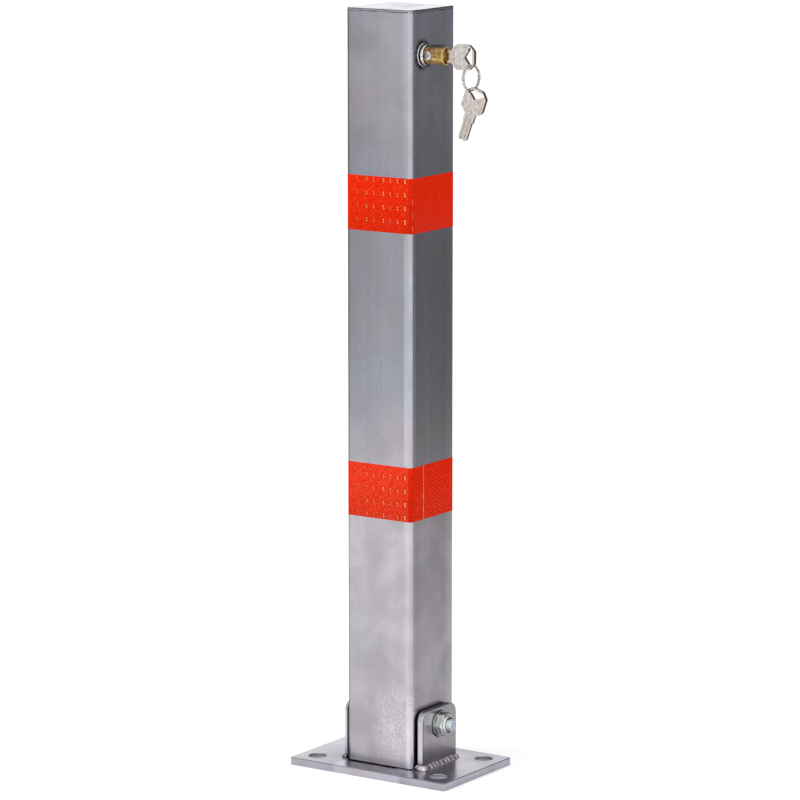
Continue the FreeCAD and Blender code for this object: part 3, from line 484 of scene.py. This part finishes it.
def tape_vinyl():
    """Red vinyl with prismatic cells pressed into its back.

    The eye sees rows of small cream glints where cells catch the light, painted into the colour as
    highlights with a darker rim, in uneven columns that grow weaker away from the near corner and are
    left off the lock side, and a diamond emboss that shows most on the lock side.
    """
    look = bpy.context.scene.bollard_tape
    material, shader, add, mm = new_material("Prismatic red vinyl tape")
    wrap, shares = (add("Attribute", attribute_name=name).outputs["Vector"] for name in ("wrap", "shares"))
    along, up, crease = add("SeparateXYZ", wrap).outputs
    glint, lattice, streak = add("SeparateXYZ", shares).outputs
    # Columns of glints, by their distance in millimetres along a side, and their strengths
    reach = 70
    columns = ((10.4, 0.3), (19, 0.5), (25.2, 0.4), (34.5, 0.65), (40.7, 0.5), (47.3, 0.6), (54.3, 1))
    stops = [(place, (i + 0.5) / 8, strength) for i, (place, strength) in enumerate(columns)]
    stops = [(6.4, 0, 0), *stops, (57.8, 7 / 8, 0)]
    ramp = add("ValToRGB", add("Math DIVIDE", along, reach))
    set_stops(ramp, [(place / reach, (count, strength, 0, 1)) for place, count, strength in stops])
    count, strength, _ = add("SeparateColor", ramp).outputs
    row = look.row / MM
    offsets, cells = [], []
    for place, size in (
        (add("Math MULTIPLY", count, 8), look.column / MM),
        (add("Math DIVIDE", up, row), row),
    ):
        cells.append(add("Math FLOOR", place))
        centred = add("Math SUBTRACT", add("Math FRACT", place), 0.5)
        offsets.append(add("Math MULTIPLY", centred, size))
    spot = add("CombineXYZ", *offsets)
    # A glint is two lobes, a tall one over a wide one
    lobes = [
        distance(add, spot, (-0.15, 0.8, 0), (1 / 0.5, 1, 1)),
        distance(add, spot, (0.2, -1, 0), (1 / 0.7, 1 / 0.75, 1)),
    ]
    small = add("MapRange", strength, 0.2, 1, 0.65, 1.1)
    near = add("Math DIVIDE", add("Math MINIMUM", *lobes), small)
    chance = add("TexWhiteNoise", add("CombineXYZ", *cells), noise_dimensions="3D")
    chance = add("MapRange", chance, 0, 1, 0.6, 1)
    ragged = add("TexNoise", {"Vector": wrap, "Scale": 1.5, "Detail": 1})
    ragged = add("MapRange", ragged, 0.35, 0.55, 0.35, 1)
    share = add("Math MULTIPLY", glint, strength)
    lit = add("MapRange", near, 1.25, 0.6, **SMOOTH)
    lit = joined(add, "Math MULTIPLY", lit, share, chance, ragged)
    halo = add("Math MULTIPLY", add("MapRange", near, 2.8, 1.2, 0, -0.3, **SMOOTH), share)
    # The emboss: diamonds from two crossing sets of waves, wider and deeper on the lock side
    weights = []
    for width, tall, depth in ((look.hatch / MM, look.hatch / MM, 0.08), (6.2, 3.35, 0.2)):
        waves = [
            add("Math COSINE", add("Math MULTIPLY", place, 2 * pi / size))
            for place, size in ((along, width), (up, tall))
        ]
        weights.append(joined(add, "Math MULTIPLY", *waves, depth))
    emboss = add("Math MULTIPLY_ADD", weights[1], lattice, weights[0])
    # Soft mottle of 1.6 mm, the cells too fine to show, and upright streaks
    mottle = add("TexNoise", {"Vector": wrap, "Scale": 0.62, "Detail": 2})
    mottle = add("MapRange", mottle, 0.35, 0.65, 0.86, 1.1)
    slim = add("VectorMath MULTIPLY", wrap, (1, 0.04, 0))
    lines = add("TexNoise", {"Vector": slim, "Scale": 0.7, "Detail": 2})
    lines = add("MapRange", lines, 0.35, 0.65, -0.07, 0.09)
    level = add("Math MULTIPLY_ADD", lines, streak, mottle)
    level = joined(add, "Math ADD", level, emboss, halo)
    red = add("VectorMath SCALE", {0: look.colour[:3], "Scale": level})
    # Raised cells scatter a little white, so light parts turn orange and dark parts deep red;
    # painted light gives more orange low down and on the front, as if the pale floor lit them, and less on
    # the lock side
    z = add("SeparateXYZ", mm).outputs[2]
    low = add("MapRange", z, 330, 420, -0.3, -0.22)
    high = add("MapRange", z, 330, 420, 1.1, 1.24)
    start = add("Math MULTIPLY_ADD", low, glint, high)
    orange = add("MapRange", level, start, 1.37, 0, 0.5)
    red = add("Mix", {0: orange, 6: red, 7: linear("#ee6a4c")}, data_type="RGBA").outputs[2]
    # The pale line, dashed by the cells: the end of the lower tape's lap, and a painted highlight down the
    # upper tape's near corner
    cut_edge_and_highlight = add("Math COMPARE", crease, 0.45, 0.3)
    fine, coarse = (
        add("Math COSINE", add("Math MULTIPLY", up, 2 * pi / size)) for size in (3, row)
    )
    fine = add("MapRange", fine, -0.5, 0.5, 0.5, 0.9)
    fading_up = add("MapRange", up, 24, 28, 1, 0.1)
    coarse = add("Math MULTIPLY", add("MapRange", coarse, 0, 0.6, 0, 0.6), fading_up)
    cut_edge_and_highlight = add("Math MULTIPLY", cut_edge_and_highlight, add("Mix", {0: lattice, 2: coarse, 3: fine}))
    pale = add("Mix", {0: cut_edge_and_highlight, 6: red, 7: linear("#f7a287")}, data_type="RGBA").outputs[2]
    soft = add("TexNoise", {"Vector": mm, "Scale": 0.12, "Detail": 2})
    fill_in(shader, {
        "Base Color": add("Mix", {0: lit, 6: pale, 7: look.glint[:]}, data_type="RGBA").outputs[2],
        "Roughness": add("MapRange", soft, 0.3, 0.7, 0.36, 0.46),
        "Normal": add("Bump", {"Strength": 0.3, "Distance": 0.00006, "Height": emboss}),
        "Specular IOR Level": 0.02,
    })
    return material


def repaint(material, mask, hexed, roughness, metallic):
    """Lays a coat over a finished metal where the mask is 1."""
    add = partial(add_node, material.node_tree)
    shader = next(node for node in material.node_tree.nodes if node.type == "BSDF_PRINCIPLED")
    colour, rough = (shader.inputs[name].links[0].from_socket for name in ("Base Color", "Roughness"))
    fill_in(shader, {
        "Base Color": add("Mix", {0: mask, 6: colour, 7: linear(hexed)}, data_type="RGBA").outputs[2],
        "Roughness": add("Mix", {0: mask, 2: rough, 3: roughness}),
        "Metallic": add("Mix", {0: mask, 2: 1, 3: metallic}),
    })


def chrome_housing():
    """Chromed die casting, polished, with the shade in its groove painted on as a black ring."""
    material = plain_metal("Polished chrome plate", ("#e6e6e8", "#cfcfd3"), 0.09, 6)
    add, mm = workbench(material.node_tree)
    gap = add("Math ABSOLUTE", add("Math SUBTRACT", add("SeparateXYZ", mm), HALF + 2.45))
    repaint(material, add("MapRange", gap, 0.85, 0.7), "#101012", 0.6, 0)
    return material


def chrome_pin():
    """Chromed steel pin; a dark ring and a dark dot in the middle of its crown are painted reflections."""
    material = plain_metal("Chromed steel pin", ("#dfdfe3", "#bdbdc4"), 0.16, 2)
    add, mm = workbench(material.node_tree)
    low, high = box("latch_pin")
    ring = distance(add, mm, (low + high) / 2, (1, 0, 1))
    dimmed = add("Math MAXIMUM", add("Math COMPARE", ring, 1.55, 0.3), add("Math LESS_THAN", ring, 0.55))
    repaint(material, add("Math MULTIPLY", dimmed, 0.85), "#3c3b3d", 0.4, 1)
    return material


# Pieces
class BOLLARD_OT_steel(bpy.types.Operator):
    """Gives the post, its cap, the ears and the base plate their zinc coat"""

    bl_idname = "bollard.steel"
    bl_label = "Finish the steelwork"

    def execute(self, context):
        tube = zinc_steel("Zinc-coated drawn steel tube", (1, 1, 0.012), tube_marks, bow=0.15)
        cap = zinc_steel("Zinc-coated ground steel cap", (0.03, 1, 1), cap_marks)
        plate = zinc_steel("Zinc-coated rolled steel plate", (0.03, 1, 1), plate_marks)
        ears = zinc_steel("Zinc-coated sheared steel ears", (1, 1, 0.03), ear_marks, bevel=0.8)
        dress(tube, "post_tube")
        dress(cap, "top_cap")
        dress(plate, "base_plate")
        dress(ears, "ear_right", "ear_left")
        return {"FINISHED"}


class BOLLARD_OT_inside(bpy.types.Operator):
    """Gives the rod, its guides, its spring and the lock's inner pieces plain steel"""

    bl_idname = "bollard.inside"
    bl_label = "Finish the inner pieces"

    def execute(self, context):
        # Bright drawn steel, lightly oiled: darker than zinc, with long fine scratches
        plain = plain_metal("Oiled drawn steel", ("#8e8e92", "#77767a"), 0.32, 9)
        # Hard-drawn spring wire: dark, smooth
        wire = plain_metal("Spring steel wire", ("#6d6d72", "#55555a"), 0.28, 4)
        dress(plain, "locking_rod", "rod_cross_pin", "rod_collar", "rod_guide_lower", "rod_guide_upper")
        dress(plain, "pivot_sleeve", "barrel_tail")
        dress(wire, "rod_lift_spring")
        return {"FINISHED"}


class BOLLARD_OT_welds(bpy.types.Operator):
    """Builds the rippled weld bead along the foot of each ear"""

    bl_idname = "bollard.welds"
    bl_label = "Build the welds"

    def execute(self, context):
        # Hand-laid weld, zinc coated with the rest: bright crests, and painted shade and dirt between the
        # ripples
        tones = ("#ebe0e4", "#7d7479")
        metal = plain_metal("Zinc-coated weld metal", tones, 0.25, 2.2, relief=0.6, shade_and_grime=1.2)
        step = context.scene.bollard_hardware.ripple / MM
        for side, name in ((1, "ear_weld_right"), (-1, "ear_weld_left")):
            low, high = box(name)
            face = low.x if side > 0 else high.x
            leg = high.x - low.x
            start, end = low.y, high.y
            rings = []
            count = 150
            for i in range(count + 1):
                y = start + (end - start) * i / count
                drift = 0.35 * noise.noise(Vector((y * 0.12, side * 5, 2)))
                phase = ((y - start) / step + drift) % 1
                # Each ripple is a shallow step that the next one laps over
                ripple = 0.16 * (1 - phase) ** 2
                wander = 0.12 * noise.noise(Vector((y * 0.3, side * 9, 0)))
                near_end = min(y - start, end - y) / 2.2
                taper = sqrt(max(0, min(1, near_end)))
                size = leg * (0.82 + ripple + wander) * (0.45 + 0.55 * taper)
                ring = [(face - side * 0.4, y, low.z - 0.05)]
                for k in range(11):
                    angle = pi / 2 * k / 10
                    reach = size * (1 / (cos(angle) + sin(angle))) ** 0.62
                    reach += 0.3 * noise.noise(Vector((y * 0.55, angle * 2, side)))
                    ring.append((face + side * reach * cos(angle), y, low.z + reach * sin(angle)))
                ring.append((face - side * 0.4, y, ring[-1][2]))
                rings.append(ring)
            title = name.replace("ear_weld", "weld_bead")
            new_piece(title, *skin(rings), metal, "base", "weld_metal", (name,))
            self.blob(name.replace("ear_weld", "weld_start"), metal, side, face, start, low.z)
        return {"FINISHED"}

    def blob(self, title, metal, side, face, y, z):
        """The lump where the bead starts, wrapped round the ear's front foot."""
        rings = []
        large = 1.75 if side > 0 else 0.6
        for i in range(1, 16):
            tilt = pi * i / 16
            ring = []
            for j in range(24):
                angle = 2 * pi * j / 24
                out = Vector((sin(tilt) * cos(angle), sin(tilt) * sin(angle), cos(tilt)))
                lump = 1 + 0.22 * noise.noise(out * 1.7 + Vector((side * 3, 1, 2)))
                spot = Vector((out.x * 2.9, out.y * 1.9, out.z * 2.3)) * lump * large
                height = max(spot.z, -0.9)
                ring.append((face - side * 0.9 + spot.x, y + 0.7 + spot.y, z + 0.85 + height))
            rings.append(ring)
        new_piece(title, *skin(rings), metal, "base", "weld_metal")


class BOLLARD_OT_pivot(bpy.types.Operator):
    """Builds the threaded pivot bolt and finishes its nut and washers"""

    bl_idname = "bollard.pivot"
    bl_label = "Build the pivot bolt"

    def execute(self, context):
        # Bright zinc plating on rolled and forged steel: pale with a faint green cast, and painted shade and
        # dirt in its crevices
        bright = plain_metal("Bright zinc plating", ("#f1f3f1", "#d3d8d5"), 0.17, 5, shade_and_grime=1.6, bevel=0.5)
        dress(bright, "pivot_nut", "housing_nut")
        # Washers: the same plating, painted black near the middle as a painted shadow of the nut and the head
        shadowed_washer = plain_metal("Zinc-plated washer", ("#d5d8d5", "#b7bcb9"), 0.24, 5)
        add, mm = workbench(shadowed_washer.node_tree)
        ring = distance(add, mm, (0, 0, PIVOT), (0, 1, 1))
        repaint(shadowed_washer, add("MapRange", ring, 9.5, 9.2, 0, 0.95), "#141416", 0.4, 0)
        dress(shadowed_washer, "washer_right", "washer_left")
        # Moulded nylon: black, with a dull sheen
        nylon = plain_metal("Moulded black nylon", ("#17171a", "#0f0f11"), 0.5, 3, metallic=0)
        dress(nylon, "nut_insert")
        low, high = box("pivot_bolt")
        nut = box("pivot_nut")[1]
        pitch = context.scene.bollard_hardware.pitch / MM
        centre = (low.z + high.z) / 2
        seat = box("washer_left")[0].x
        flats = high.y
        start = nut.x - 2
        radius = 5
        # Hexagon head with its turned chamfer, then the plain shank, then the thread
        stations = [
            (low.x, "head", flats * 0.95),
            (low.x + 0.05, "head", flats * 0.96),
            (low.x + 1.4, "head", flats * 1.2),
            (seat - 0.3, "head", flats * 1.2),
            (seat, "head", flats * 1.16),
            (seat, "shank", radius),
            (start, "shank", radius),
        ]
        fine = 64
        stations += [(start + (high.x - start) * i / fine, "thread", radius) for i in range(1, fine + 1)]
        around = 72
        rings = []
        for x, kind, limit in stations:
            ring = []
            for j in range(around):
                angle = 2 * pi * j / around
                reach = limit
                if kind == "head":
                    fold = (angle + pi / 6) % (pi / 3) - pi / 6
                    reach = min(flats / cos(fold), limit)
                if kind == "thread":
                    turn = (x / pitch - angle / (2 * pi)) % 1
                    fade = min(1, x - start, max(0, high.x - 1.2 - x) / 1.5)
                    depth = 0.92 * (1 - abs(2 * turn - 1)) * fade
                    reach = min(radius - depth, radius - 0.7 * max(0, x - (high.x - 1)))
                shift = pi / 6 if kind == "head" else 0
                ring.append((x, reach * sin(angle + shift), centre + reach * cos(angle + shift)))
            rings.append(ring)
        # The bolt's end, cut after plating, has a bluish passive film
        steel = plain_metal("Zinc-plated bolt steel", ("#eef0ee", "#d0d5d2"), 0.2, 5)
        add, mm = workbench(steel.node_tree)
        end = add("Math GREATER_THAN", add("SeparateXYZ", mm), high.x - 0.06)
        film = add("TexNoise", {"Vector": mm, "Scale": 0.7, "Detail": 3})
        end = add("Math MULTIPLY", end, add("MapRange", film, 0.4, 0.6, 0.35, 0.95))
        repaint(steel, end, "#a3b4d2", 0.35, 0.45)
        replaced = ("pivot_bolt",)
        new_piece("threaded_pivot_bolt", *skin(rings), steel, "base", "zinc_fastener", replaced, crease=28)
        return {"FINISHED"}


class BOLLARD_OT_tapes(bpy.types.Operator):
    """Wraps the two reflective tapes round the post, each with a lap joint"""

    bl_idname = "bollard.tapes"
    bl_label = "Wrap the tapes"

    def execute(self, context):
        look = context.scene.bollard_tape
        vinyl = tape_vinyl()
        layer = look.thickness / MM
        overlap = look.overlap / MM
        for name, lap_end, first_row in (
            # Where the lap ends on the lock side, or None for the back; the first row's height
            ("reflective_band_upper", None, 8.8),
            ("reflective_band_lower", -12.5, 2.9),
        ):
            low, high = box(name)
            path = self.route(3, None if lap_end is None else lap_end - overlap, overlap)
            total = path[-1][2]
            corner = min(path, key=lambda step: dist(step[0], (HALF, -HALF)))[2]
            shift = first_row - look.row / MM * 0.5
            rings, wrap, shares = [], [], []
            for spot, out, run in path:
                lapped = max(0, min(1, (run - (total - overlap) + 1.5) / 1.5))
                inner = 0.02 + lapped * (layer + 0.01)
                outer = inner + layer
                edge = 0.03
                upward = [(inner, low.z), (outer - edge, low.z), (outer, low.z + edge)]
                downward = [(outer, high.z - edge), (outer - edge, high.z), (inner, high.z)]
                ring = [(spot[0] + out[0] * gap, spot[1] + out[1] * gap, z) for gap, z in upward + downward]
                rings.append(ring)
                # Upper tape: the pale line runs down the near corner as a painted highlight; lower tape: it
                # marks the end of the lap
                crease = 1.4 * abs(run - corner - 1.1) + 0.45 if lap_end is None else 0.55 * (total - run)
                along, glint = self.glint(spot, out)
                lock_side = max(0, out[0]) ** 2
                if lap_end is None:
                    lattice, streak = 0.1 * lock_side, 0.3 + 0.7 * lock_side
                else:
                    lattice, streak = lock_side * min(1, max(0.35, 0.9 + spot[1] / 30)), 0.3
                wrap += [(along, z - low.z - shift, crease) for _, _, z in ring]
                shares += [(glint, lattice, streak)] * len(ring)
            title = name.replace("band", "tape")
            piece = new_piece(title, *skin(rings), vinyl, "post", "red_reflective_tape", (name,), crease=50)
            for title, values in (("wrap", wrap), ("shares", shares)):
                marks = piece.data.attributes.new(title, "FLOAT_VECTOR", "POINT")
                for item, value in zip(marks.data, values):
                    item.vector = value
        return {"FINISHED"}

    def route(self, corner, lap_y, overlap):
        """Points once round the tube and on over the lap: place, outward direction, distance run."""
        flat = HALF - corner
        sides = []
        for quarter in range(4):
            angle = pi / 2 * quarter
            out = (cos(angle), sin(angle))
            way = (-out[1], out[0])
            for i in range(9):
                t = -flat + 2 * flat * i / 8
                sides.append(((out[0] * HALF + way[0] * t, out[1] * HALF + way[1] * t), out))
            centre = ((out[0] + way[0]) * flat, (out[1] + way[1]) * flat)
            for i in range(1, 8):
                bend = angle + pi / 2 * i / 8
                turned = (cos(bend), sin(bend))
                sides.append(((centre[0] + turned[0] * corner, centre[1] + turned[1] * corner), turned))
        # Start the tape at the lap: on the lock side, or in the middle of the back
        first = ((0, HALF), (0, 1)) if lap_y is None else ((HALF, lap_y), (1, 0))
        start = atan2(first[0][1], first[0][0])
        order = sorted(sides, key=lambda side: (atan2(side[0][1], side[0][0]) - start) % (2 * pi))
        points = [first] + [side for side in order if dist(side[0], first[0]) > 1e-6] + [first]
        run, path = 0, [(*first, 0)]
        for (a, _), (b, out) in zip(points, points[1:]):
            run += dist(a, b)
            path.append((b, out, run))
        # The lap: a little further the same way, over the start
        way = (-first[1][1], first[1][0])
        for far in (1.5, overlap):
            spot = (first[0][0] + way[0] * far, first[0][1] + way[1] * far)
            path.append((spot, first[1], run + far))
        return path

    def glint(self, spot, out):
        """Distance along a side for the columns of glints, and how strongly they show on it."""
        x, y = spot
        if abs(out[1]) > 0.99:
            return (x if out[1] < 0 else -x) + HALF, 1 if out[1] < 0 else 0.7
        if out[0] < -0.99:
            return HALF - y, 0.6
        return (HALF * 2, 0) if out[0] < 0.99 else (y + HALF * 3, 0)


class BOLLARD_OT_lock(bpy.types.Operator):
    """Finishes the lock's housing, barrel, plug and latch pin"""

    bl_idname = "bollard.lock"
    bl_label = "Finish the lock"

    def execute(self, context):
        # Turned brass, unlacquered: feed lines round the barrel, and dark brown painted shade and dirt in its
        # hollows
        brass = plain_metal(
            "Turned brass", ("#dab777", "#8c6b3c"), 0.2, 3, feed=0.8, shade_and_grime=2.5, shade_and_dirt="#5b3312", bevel=0.7
        )
        # Painted highlight: its rim is painted bright
        add, mm = workbench(brass.node_tree)
        rim = box("lock_barrel")[1].x
        painted_highlight = add("MapRange", add("SeparateXYZ", mm), rim - 0.9, rim - 0.3, 0, 0.7)
        repaint(brass, painted_highlight, "#e2ae68", 0.15, 1)
        dress(chrome_housing(), "lock_housing")
        dress(chrome_pin(), "latch_pin")
        dress(brass, "lock_barrel", "lock_plug")
        return {"FINISHED"}


class BOLLARD_OT_keys(bpy.types.Operator):
    """Finishes the keys and winds the split ring"""

    bl_idname = "bollard.keys"
    bl_label = "Build the key ring"

    def execute(self, context):
        # Stamped nickel silver: warm grey, softly polished faces, with painted shade and dirt in its hollows
        edges = {"shade_and_grime": 0.7, "shade_and_dirt": "#4a4036", "bevel": 0.3}
        silver = plain_metal("Stamped nickel silver", ("#fff5ee", "#d6cac0"), 0.24, 2.6, relief=0.05, **edges)
        # Its sheared edges and milled grooves are painted dark brown as shade; the flats face front and back
        add = partial(add_node, silver.node_tree)
        sheared = add("MapRange", add("Math ABSOLUTE", facing(add)[1]), 0.85, 0.6, 0, 0.85)
        repaint(silver, sheared, "#4d423b", 0.4, 1)
        # Nickel-plated spring wire
        nickel = plain_metal("Nickel-plated ring wire", ("#e6e0da", "#8f8983"), 0.1, 2, relief=0.05)
        dress(silver, "key_in_lock", "spare_key")
        low, high = box("key_ring")
        wire = context.scene.bollard_hardware.ring_wire / MM
        centre = (low + high) / 2
        radius = (high.z - low.z) / 2 - 0.68
        yaw = radians(-6)
        side = Vector((cos(yaw), sin(yaw), 0))
        depth = Vector((-sin(yaw), cos(yaw), 0))
        turns, steps = 1.93, 230
        rings = []
        for i in range(steps + 1):
            share = i / steps
            angle = radians(215) + 2 * pi * turns * share
            # The wire lies flat for nearly a turn, then crosses over beside itself
            cross = min(1, max(0, (share - 0.43) / 0.12))
            offset = -0.62 + 1.24 * cross * cross * (3 - 2 * cross)
            out = depth * sin(angle) + Vector((0, 0, 1)) * cos(angle)
            spot = centre + out * radius + side * offset
            end = min(share, 1 - share) * steps
            thick = wire * (1 if end >= 2 else (0.55 + 0.225 * end))
            ring = []
            for j in range(14):
                bend = 2 * pi * j / 14
                ring.append(spot + (out * cos(bend) + side * sin(bend)) * thick)
            rings.append(ring)
        new_piece("split_key_ring", *skin(rings), nickel, "ring", "ring_steel", ("key_ring",), crease=60)
        return {"FINISHED"}


# Stage
class BOLLARD_OT_stage(bpy.types.Operator):
    """Sets the floor, the plain room light, the lamps and the camera"""

    bl_idname = "bollard.stage"
    bl_label = "Set the stage"

    def execute(self, context):
        look = context.scene.bollard_stage
        context.scene.view_settings.view_transform = "Standard"
        self.floor(look)
        self.walls()
        self.room(look)
        for name, spot, power, width in (
            ("Key lamp", (-1.7, -2.3, 1.7), look.key, 1.9),
            ("Overhead lamp", (0.2, -0.3, 2.6), look.fill, 1.8),
            ("Side lamp", (2.4, 0.5, 1), look.side, 1.4),
        ):
            lamp = bpy.data.lights.new(name, "AREA")
            lamp.shape = "SQUARE"
            lamp.size = width
            lamp.energy = power
            body = put(name, lamp)
            body.location = spot
            body.rotation_euler = (Vector((0, 0, 0.3)) - Vector(spot)).to_track_quat("-Z", "Y").to_euler()
            body.visible_camera = False
            body.visible_glossy = False
        camera = bpy.data.cameras.new("Camera")
        camera.sensor_width = 36
        camera.lens = look.lens
        camera.clip_end = 100
        stand = put("Camera", camera)
        stand.location = look.camera
        stand.rotation_euler = (pi / 2 - look.pitch, 0, look.heading)
        context.scene.camera = stand
        return {"FINISHED"}

    def seen(self, add):
        """1 for rays from the camera and for those seen in metal or through glass."""
        path = add("LightPath").outputs
        rays = (path[f"Is {kind} Ray"] for kind in ("Camera", "Glossy", "Transmission"))
        return joined(add, "Math MAXIMUM", *rays)

    def floor(self, look):
        """A wide painted floor; its white is lifted where it is seen, little near the post, where
        the shadow lies, and more far off."""
        mesh = bpy.data.meshes.new("floor")
        far = 30
        mesh.from_pydata([(-far, -far, 0), (far, -far, 0), (far, far, 0), (-far, far, 0)], [], [(0, 1, 2, 3)])
        floor = put("floor", mesh)
        floor.location.z = -0.0003
        material, shader, add, mm = new_material("Pale painted floor")
        speck = add("TexNoise", {"Vector": mm, "Scale": 0.02, "Detail": 3})
        paint = add("MapRange", speck, 0.3, 0.7, 0.985, 1)
        away = add("VectorMath LENGTH", mm).outputs["Value"]
        lift = add("MapRange", away, 500, 3000, 0.3, 0.6, **SMOOTH)
        dimmed = add("MapRange", away, 420, 1200, 0.22, -0.08, **SMOOTH)
        dimmed = add("Math MULTIPLY", dimmed, add("LightPath").outputs["Is Glossy Ray"])
        fill_in(shader, {
            "Base Color": add("VectorMath SCALE", {0: look.floor[:3], "Scale": paint}),
            "Roughness": 0.9,
            "Specular IOR Level": 0.2,
            "Emission Color": (1, 1, 1, 1),
            "Emission Strength": add("Math MULTIPLY", self.seen(add), add("Math SUBTRACT", lift, dimmed)),
        })
        mesh.materials.append(material)

    def walls(self):
        """Soft studio cards all round, and a grey one on the floor, seen only in the metal."""
        turns = [pi * j / 32 for j in range(64)]
        rings = [[(1.3 * cos(turn), 1.3 * sin(turn), z) for turn in turns] for z in (-0.02, 1.9)]
        points, faces = skin(rings)
        add, here = self.card("studio_cards", points, faces[:-2])
        x, y, z = add("SeparateXYZ", here).outputs
        turn = add("Math ARCTAN2", x, add("Math MULTIPLY", y, -1))
        turn = add("Math MULTIPLY_ADD", turn, 0.5 / pi, 0.5)
        ramp = add("ValToRGB", turn)
        brightest = 2.5
        set_stops(ramp, [
            (degrees / 360 + 0.5, [strength / brightest * share for share in (1 - blue, 1, 1 + blue)] + [1])
            for degrees, strength, blue in self.CARDS
        ])
        # The cards that the cap, the front and the lock side mirror grow brighter upwards
        level = brightest
        for degrees, width, low, high, more in (
            (-146, 40, 0.3, 0.8, 0.45),
            (-34, 50, 0.27, 0.42, 0.5),
            (-34, 50, 0.1, 0.02, 0.16),
            (146, 50, 0.28, 0.4, 0.68),
        ):
            off = add("Math ABSOLUTE", add("Math SUBTRACT", turn, degrees / 360 + 0.5))
            share = add("MapRange", off, width / 360, width / 900, 0, more, **SMOOTH)
            rise = add("MapRange", z, low, high, **SMOOTH)
            level = add("Math MULTIPLY", level, add("Math MULTIPLY_ADD", rise, share, 1))
        add("OutputMaterial", add("Emission", ramp, level))
        # The floor's card lies towards the back on the lock side, and fades outwards
        aim, wide = radians(146), radians(28)
        turns = [aim - wide + 2 * wide * j / 16 for j in range(17)]
        points = [(reach * sin(turn), -reach * cos(turn), 0.0012) for reach in (0.1, 1.3) for turn in turns]
        add, here = self.card("floor_card", points, [(j, j + 17, j + 18, j + 1) for j in range(16)])
        away = add("VectorMath LENGTH", here).outputs["Value"]
        near = add("MapRange", away, 0.28, 0.6, 0.7, 0.63, **SMOOTH)
        far = add("MapRange", away, 1, 1.3, 1, 0.45, **SMOOTH)
        add("OutputMaterial", add("Emission", (1, 1, 1, 1), add("Math MULTIPLY", near, far)))

    # Degrees from the front towards the lock side, strength, blueness
    CARDS = (
        (-180, 0.35, 0), (-165, 0.5, 0), (-152, 0.88, 0), (-138, 1, 0), (-115, 0.3, 0.02),
        (-85, 0.44, 0.02), (-62, 0.3, 0.02), (-46, 0.4, 0.01), (-30, 0.52, 0.01), (-8, 0.8, 0.02),
        (10, 1.15, 0.025), (85, 1.15, 0.025), (105, 0.6, 0.04), (122, 0.22, 0.02), (146, 0.145, 0.01),
        (168, 0.15, 0.01), (180, 0.35, 0),
    )

    def card(self, name, points, faces):
        """A card that only glossy rays meet; gives its material's add_node and its position in metres."""
        mesh = bpy.data.meshes.new(name)
        mesh.from_pydata(points, [], faces)
        mesh.shade_smooth()
        piece = put(name, mesh)
        for kind in ("camera", "diffuse", "transmission", "volume_scatter", "shadow"):
            setattr(piece, f"visible_{kind}", False)
        material = bpy.data.materials.new("Glowing " + name.replace("_", " "))
        mesh.materials.append(material)
        add = partial(add_node, emptied(material))
        return add, add("TexCoord").outputs["Object"]

    def room(self, look):
        """Plain light from all round; white where it is seen directly, in metal or through glass."""
        world = bpy.data.worlds.new("Room")
        bpy.context.scene.world = world
        add = partial(add_node, emptied(world))
        plain, white = (add("Background", (1, 1, 1, 1), strength) for strength in (look.sky, 1))
        add("OutputWorld", add("MixShader", self.seen(add), plain, white))


class BOLLARD_PT_panel(bpy.types.Panel):
    """Lists the bollard's pieces, sizes and colours"""

    bl_label = "Bollard"
    bl_idname = "BOLLARD_PT_panel"
    bl_space_type = "VIEW_3D"
    bl_region_type = "UI"
    bl_category = "Bollard"

    def draw(self, context):
        for step in STEPS:
            self.layout.operator(step.bl_idname)
        for name in GROUPS:
            group = getattr(context.scene, name)
            box = self.layout.box()
            for prop in group.bl_rna.properties:
                if prop.identifier not in ("rna_type", "name"):
                    box.prop(group, prop.identifier)


STEPS = (
    BOLLARD_OT_steel, BOLLARD_OT_inside, BOLLARD_OT_welds, BOLLARD_OT_pivot,
    BOLLARD_OT_tapes, BOLLARD_OT_lock, BOLLARD_OT_keys, BOLLARD_OT_stage,
)
GROUPS = {
    "bollard_steel": BollardSteel,
    "bollard_tape": BollardTape,
    "bollard_hardware": BollardHardware,
    "bollard_stage": BollardStage,
}
CLASSES = (*GROUPS.values(), *STEPS, BOLLARD_PT_panel)


def register():
    for item in CLASSES:
        bpy.utils.register_class(item)
    for name, group in GROUPS.items():
        setattr(bpy.types.Scene, name, PointerProperty(type=group))


def unregister():
    for name in GROUPS:
        delattr(bpy.types.Scene, name)
    for item in reversed(CLASSES):
        bpy.utils.unregister_class(item)


def main():
    register()
    for step in STEPS:
        group, name = step.bl_idname.split(".")
        result = getattr(getattr(bpy.ops, group), name)()
        if result != {"FINISHED"}:
            raise RuntimeError(f"{step.bl_label} did not finish")


if __name__ == "__main__":
    main()
